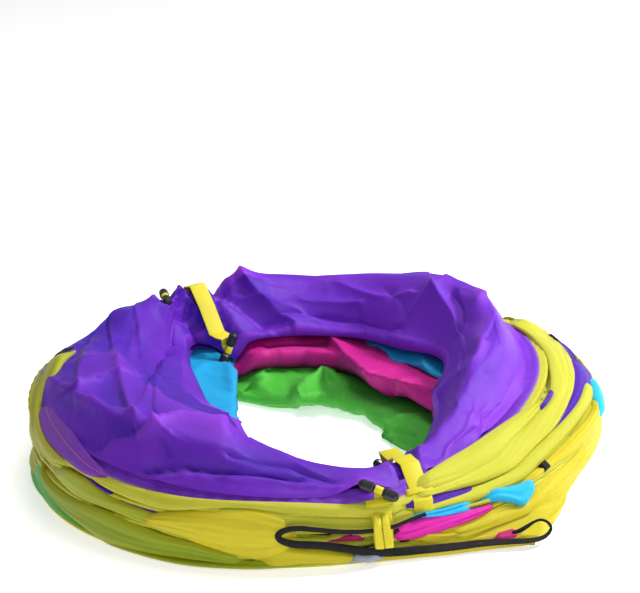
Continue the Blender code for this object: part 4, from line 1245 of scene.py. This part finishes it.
def patch_grid(name, bulge, raised, upper, lower):
    """A fold of cloth between two edges in the picture, rounded out from the form and tucked in."""
    longest = max(length_of(upper), length_of(lower))
    count = max(LEAST_ROWS, int(longest / PATCH_STEP))
    top = route(upper, count)
    low = route(lower, count)
    width = np.linalg.norm(top - low, axis=1).max()
    rows = max(LEAST_COLUMNS, int(width))
    share = np.linspace(0, 1, rows)[None, :]
    spots = low[:, None] * (1 - share[..., None]) + top[:, None] * share[..., None]
    reach = max(1, rows // 6)
    base = EYE + rays(spots) * eased(depths(spots), DEPTH_ROUNDS, DEPTH_REACH, reach)[..., None]
    normal = unit(eased(grid_normals(base), 1, NORMAL_REACH, reach))
    along = np.linspace(0, longest * PIXEL, count)[:, None]
    seed = seed_of(name)
    offset = raised + bulge * (1 - np.abs(2 * share - 1) ** BULGE_POWER)
    offset = offset + WAVE_SIZE * waves(along, share * width * WAVE_ACROSS, seed)
    for centre, fall, size in LONG_FOLDS.get(name, ()):
        wander = WANDER * np.sin(along / WANDER_LENGTH + seed + centre * 9)
        wander = wander + QUIVER * np.sin(along / QUIVER_LENGTH + seed * 2)
        fade = FADE + (1 - FADE) * np.sin(along / FADE_LENGTH + seed * centre)
        offset = offset - fall * fade * np.exp(-((share - centre - wander) / size) ** 2)
    ends = smooth(np.minimum(along, along[-1] - along) / min(END_RUN, along[-1, 0] * END_SHARE))
    offset = offset * ends - END_DIP * (1 - ends)
    grid = base + normal * offset[..., None]
    edges = [grid[:, [edge]] - normal[:, [edge]] * TUCK_DIP
             + (grid[:, [edge]] - grid[:, [inner]]) * TUCK_REACH for edge, inner in ((0, 1), (-1, -2))]
    grid = np.concatenate((edges[0], grid, edges[1]), 1)
    share = np.concatenate(([[0.0]], share, [[1.0]]), 1)
    grid[..., 2] = np.maximum(grid[..., 2], PATCH_CLEARANCE)
    return grid, np.repeat(share, count, 0)


def outer_piece(name, grid, look, home, painted_light_and_hem_share):
    """An open sheet that rides its strap, its own hoop or the lower hoop of its panel."""
    item = grid_object(name, grid, False, look, painted_light_and_hem_share)
    if isinstance(home, tuple):
        home = home[0]
    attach(item, home if isinstance(home, str) else f"turn_{home}")
    return item


def build_patch(name, look, home, bulge, raised, painted_light_and_hem_share, upper, lower):
    grid, share = patch_grid(name, bulge, raised, upper, lower)
    GRIDS[name] = grid
    # Painted light and shade, strongest along the middle of the patch and weaker at its edges
    middle = EDGE_PAINTED_LIGHT + (1 - EDGE_PAINTED_LIGHT) * np.sin(share * math.pi)
    return outer_piece(name, grid, look, home, painted_light_and_hem_share * middle)


# Slack cloth that hangs out between the hoops behind: its look, lower hoop, turns, reach and drop
BACK_FOLDS = (
    ("back_fold_one", "yellow", 1, (36, 96), 0.0065, 0.8),
    ("back_fold_two", "green", 0, (72, 128), 0.0050, 0.6),
    ("back_fold_three", "purple", 4, (100, 150), 0.0060, 0.9),
    ("back_fold_four", "cyan", 3, (52, 84), 0.0050, 0.7),
    ("back_fold_five", "magenta", 2, (128, 166), 0.0060, 0.9),
    ("back_fold_six", "yellow", 1, (140, 196), 0.0070, 0.9),
    ("back_fold_seven", "green", 0, (160, 200), 0.0055, 0.6),
    ("back_fold_eight", "purple", 4, (20, 62), 0.0045, 0.8),
)
BACK_STEPS = 15
BACK_ROWS = 3
BACK_ROUND = 0.7
BACK_TINT = 0.35
BACK_OUT_WAVE = 0.35
BACK_OUT_ACROSS = 0.02
BACK_HANG_WAVE = 0.3
BACK_HANG_ACROSS = 0.01
BACK_SINK = 0.4
BACK_RISE = 0.8
BACK_HANG = 0.007
BACK_CLEARANCE = 0.001


def build_back_fold(name, look, hoop, turns, reach_out, drop):
    """A fold of the panel between two hoops, pushed out past them and hanging a little below."""
    first, last = turns
    angle = np.linspace(first, last, (last - first) * BACK_ROWS)[:, None]
    share = np.linspace(0, 1, BACK_STEPS)[None, :]
    low = on_band(hoop, angle, -TAPE_RADIUS * BACK_SINK, TAPE_RADIUS * BACK_RISE)
    high = on_band(hoop + 1, angle, -TAPE_RADIUS * BACK_SINK, -TAPE_RADIUS * BACK_RISE)
    swell = np.sin((angle - first) / (last - first) * math.pi) ** BACK_ROUND
    belly = np.sin(share * math.pi)
    seed = seed_of(name)
    along = np.radians(angle) * HOOP_RADIUS
    out = reach_out * swell * belly ** BACK_ROUND
    out = out * (1 + BACK_OUT_WAVE * waves(along, share * BACK_OUT_ACROSS, seed))
    hang = BACK_HANG * drop * swell * belly
    hang = hang * (1 + BACK_HANG_WAVE * waves(along, share * BACK_HANG_ACROSS, seed + 5))
    reach = low[0] + (high[0] - low[0]) * share + out
    height = np.maximum(BACK_CLEARANCE, low[1] + (high[1] - low[1]) * share - hang)
    grid = to_points(angle, reach, height)
    return outer_piece(name, grid, look, hoop, BACK_TINT * np.ones(grid.shape[:2]))


# The black bias tape round the window, and other narrow bands
BANDS = {
    "window_edge": ("binding", (1, 2), 0.0088,
        ((426, 514, 2.2), (410, 520, 2.0), (392, 527, 2.0), (371, 531, 2.2), (345, 532, 2.4),
         (318, 530, 2.6), (298, 528.5, 2.8), (285, 530.5, 3.0), (278, 535.5, 3.2), (282, 541, 3.4),
         (296, 544.5, 4.0), (320, 545.5, 4.0), (345, 548.5, 4.2), (371, 552, 4.4), (395, 552, 4.4),
         (425, 549.5, 4.2), (455, 546.5, 4.0), (484, 543, 3.6), (510, 541.5, 3.0), (530, 540.5, 2.6),
         (544, 537, 2.2), (551, 529, 1.6), (548, 522.5, 1.4), (541, 519.8, 1.4), (534, 522, 1.4),
         (527, 526.5, 2.0), (519, 531, 2.2), (512, 532.5, 1.6))),
    "edge_cord_back": ("binding", 6, 0.0040,
        ((196, 312, 1.0), (204, 320, 2.4), (216, 328, 3.0), (230, 332, 2.8), (243, 333, 1.2))),
    "edge_cord_left": ("binding", 6, 0.0022,
        ((52, 362, 0.6), (56, 356, 1.5), (62, 352, 1.7), (68, 349.5, 1.5), (74, 347.5, 0.6))),
    "edge_cord_front": ("binding", (2, 3), 0.0026,
        ((386, 541, 0.8), (398, 530, 2.0), (410, 524, 2.2), (424, 518, 1.6), (436, 513, 0.8))),
}
BAND_STEP = 0.8
LEAST_BAND_ROWS = 40
BAND_COLUMNS = 9
BAND_CROWN = 0.0014
BAND_ROUND = 0.6
BAND_REACH = 2
BAND_THICKNESS = 0.0012
BAND_PUCKER = 0.00018
BAND_PUCKER_STEP = 2.3
BAND_CLEARANCE = 0.0006


def build_band(name, look, home, raised, spots):
    """A narrow tape with a rounded section, along a line in the picture with a half width at each spot."""
    count = max(LEAST_BAND_ROWS, int(length_of([spot[:2] for spot in spots]) / BAND_STEP))
    line = route(spots, count)
    step = unit(np.gradient(line[:, :2], axis=0))
    side = np.stack((-step[:, 1], step[:, 0]), 1)
    share = np.linspace(-1, 1, BAND_COLUMNS)[None, :, None]
    places = line[:, None, :2] + side[:, None] * share * line[:, None, 2:]
    deep = eased(depths(places), DEPTH_ROUNDS, DEPTH_REACH, BAND_REACH)
    base = EYE + rays(places) * deep[..., None]
    toward = unit(EYE - base)
    crown = np.minimum(line[:, None, 2] * PIXEL * BAND_ROUND, BAND_CROWN)
    crown = crown * np.sqrt(np.maximum(0, 1 - share[..., 0] ** 2))
    pucker = BAND_PUCKER * np.sin(np.linspace(0, 1, count)[:, None] * count * BAND_STEP / BAND_PUCKER_STEP)
    front = base + toward * (raised + crown + pucker)[..., None]
    back = base + toward * (raised - BAND_THICKNESS)
    grid = np.concatenate((front, back[:, ::-1], front[:, :1]), 1)
    grid[..., 2] = np.maximum(grid[..., 2], BAND_CLEARANCE)
    return outer_piece(name, grid, look, home, 0 * grid[..., 0])


# Straps and keepers, refined from their solids
EDGE_ROUND = 0.0004
MERGE_GAP = 1e-6


def refined(node, look):
    """A softer, finer copy of a small soft solid, which it replaces."""
    source = frame["nodes"][node]
    item = add_object(f"sewn_{node}", source.data.copy())
    item.matrix_world = source.matrix_world.copy()
    item.data.materials.clear()
    item.data.materials.append(MATERIALS[look])
    work = bmesh.new()
    work.from_mesh(item.data)
    bmesh.ops.remove_doubles(work, verts=work.verts, dist=MERGE_GAP)
    bmesh.ops.dissolve_limit(work, angle_limit=math.radians(1), verts=work.verts, edges=work.edges)
    work.to_mesh(item.data)
    work.free()
    rounding = item.modifiers.new("edges", "BEVEL")
    rounding.width = EDGE_ROUND
    rounding.segments = 2
    rounding.limit_method = "ANGLE"
    apply_modifiers(item)
    item.data.shade_smooth()
    for layer in list(item.data.uv_layers):
        item.data.uv_layers.remove(layer)
    x, y, z = np.array([vertex.co for vertex in item.data.vertices]).T
    add_threads(item.data, np.stack((x + y, z), 1))
    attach(item, body_of(source)[0])
    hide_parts(node)
    return item


def build_small():
    """The ties' straps and keepers, each refined from its solid."""
    for side in SIDES:
        for kind in ("strap", "keeper"):
            item = refined(f"{side}_tie_{kind}", "strap")
            item.data.calc_loop_triangles()


# Stitches: their threads, and where each seam runs across its hem
STITCH_PITCH = 0.0036
THREAD_RADIUS = 0.00028
THREAD_SIDES = 6
STITCH_RINGS = ((-0.42, 0.0), (0.0, 0.9), (0.42, 0.0))
STITCH_HALF = 0.31
SEAM_LOOK = {"hem_purple_strip": ("orange_thread", 0.55), "hem_front": ("yellow_thread", 0.25),
             "hem_top": ("yellow_thread", 0.16), "hem_second": ("yellow_thread", 0.16),
             "hem_third": ("yellow_thread", 0.2), "hem_fourth": ("yellow_thread", 0.2)}


def bar_faces(base, sides):
    """Faces of a short bar of three rings and two end points."""
    faces = []
    first = base + 3 * sides
    for side in range(sides):
        after = (side + 1) % sides
        for ring in (base, base + sides):
            faces.append((ring + side, ring + after, ring + sides + after, ring + sides + side))
        faces.append((first, base + after, base + side))
        faces.append((first + 1, base + 2 * sides + side, base + 2 * sides + after))
    return faces


def build_stitches(name, look, place):
    """A row of sewn stitches along one line of a hem, each a short thread that dips at its ends."""
    grid = GRIDS[name]
    column = int(place * (grid.shape[1] - 1))
    line = grid[:, column]
    normal = grid_normals(grid)[:, column]
    run = run_along(line)
    sweep = np.arange(THREAD_SIDES) * 2 * math.pi / THREAD_SIDES

    def at(values, spot):
        return np.array([np.interp(spot, run, part) for part in values.T])

    points = []
    faces = []
    for number in range(int(run[-1] / STITCH_PITCH)):
        middle = (number + 0.5) * STITCH_PITCH
        centre = at(line, middle)
        half = STITCH_PITCH * STITCH_HALF
        ahead = at(line, middle + half) - at(line, middle - half)
        up = at(normal, middle)
        aside = unit(np.cross(up, ahead)) * THREAD_RADIUS
        up = unit(up) * THREAD_RADIUS
        faces += bar_faces(len(points), THREAD_SIDES)
        for spot, rise in STITCH_RINGS:
            points += [centre + ahead * spot + up * (rise + math.sin(turn)) + aside * math.cos(turn)
                       for turn in sweep]
        points += [centre - ahead * 0.5 - up, centre + ahead * 0.5 - up]
    item = mesh_object(f"stitches_{name}", points, faces, look)
    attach(item, f"turn_{PATCHES[name][1]}")


def dress_nodes():
    """Finishes of the solids that stay as they are."""
    looks = {f"spring_turn_{hoop}": "steel" for hoop in range(HOOPS)}
    looks.update({f"{side}_toggle": "plastic" for side in SIDES})
    for node, look in looks.items():
        for slot in frame["nodes"][node].material_slots:
            slot.material = MATERIALS[look]


def declare_cloth(panels, tapes):
    """Lists the panels and the hoops' tapes with their flat lengths, and the hoops that each fold or edging
    goes with; the lists are not used.
    """
    homes = {name: values[1] for name, values in (*PATCHES.items(), *BANDS.items())}
    homes.update({values[0]: (values[2], values[2] + 1) for values in BACK_FOLDS})
    homes = {name: 0 if isinstance(home, str) else home for name, home in homes.items()}
    cuts = [(item, (number, number + 1), PANEL_LENGTH) for number, item in enumerate(panels)]
    cuts += [(item, number, TAPE_CUT) for number, item in enumerate(tapes)]


GRIDS = {}
MATERIALS = make_materials()
add_camera()
for lamp in LAMPS:
    add_lamp(*lamp)
add_world()
add_floor()
PANEL_ITEMS = [build_panel(number) for number in range(len(PANELS))]
TAPE_ITEMS = [build_tape(number) for number in range(HOOPS)]
OUTER = {name: build_patch(name, *values) for name, values in PATCHES.items()}
OUTER.update({name: build_band(name, *values) for name, values in BANDS.items()})
OUTER.update({values[0]: build_back_fold(*values) for values in BACK_FOLDS})
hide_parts("window_binding")
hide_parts("window_facing")
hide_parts("side_tab")
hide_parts("sewn_ribbon")
build_small()
for hem, seam in SEAM_LOOK.items():
    build_stitches(hem, *seam)
dress_nodes()
declare_cloth(PANEL_ITEMS, TAPE_ITEMS)
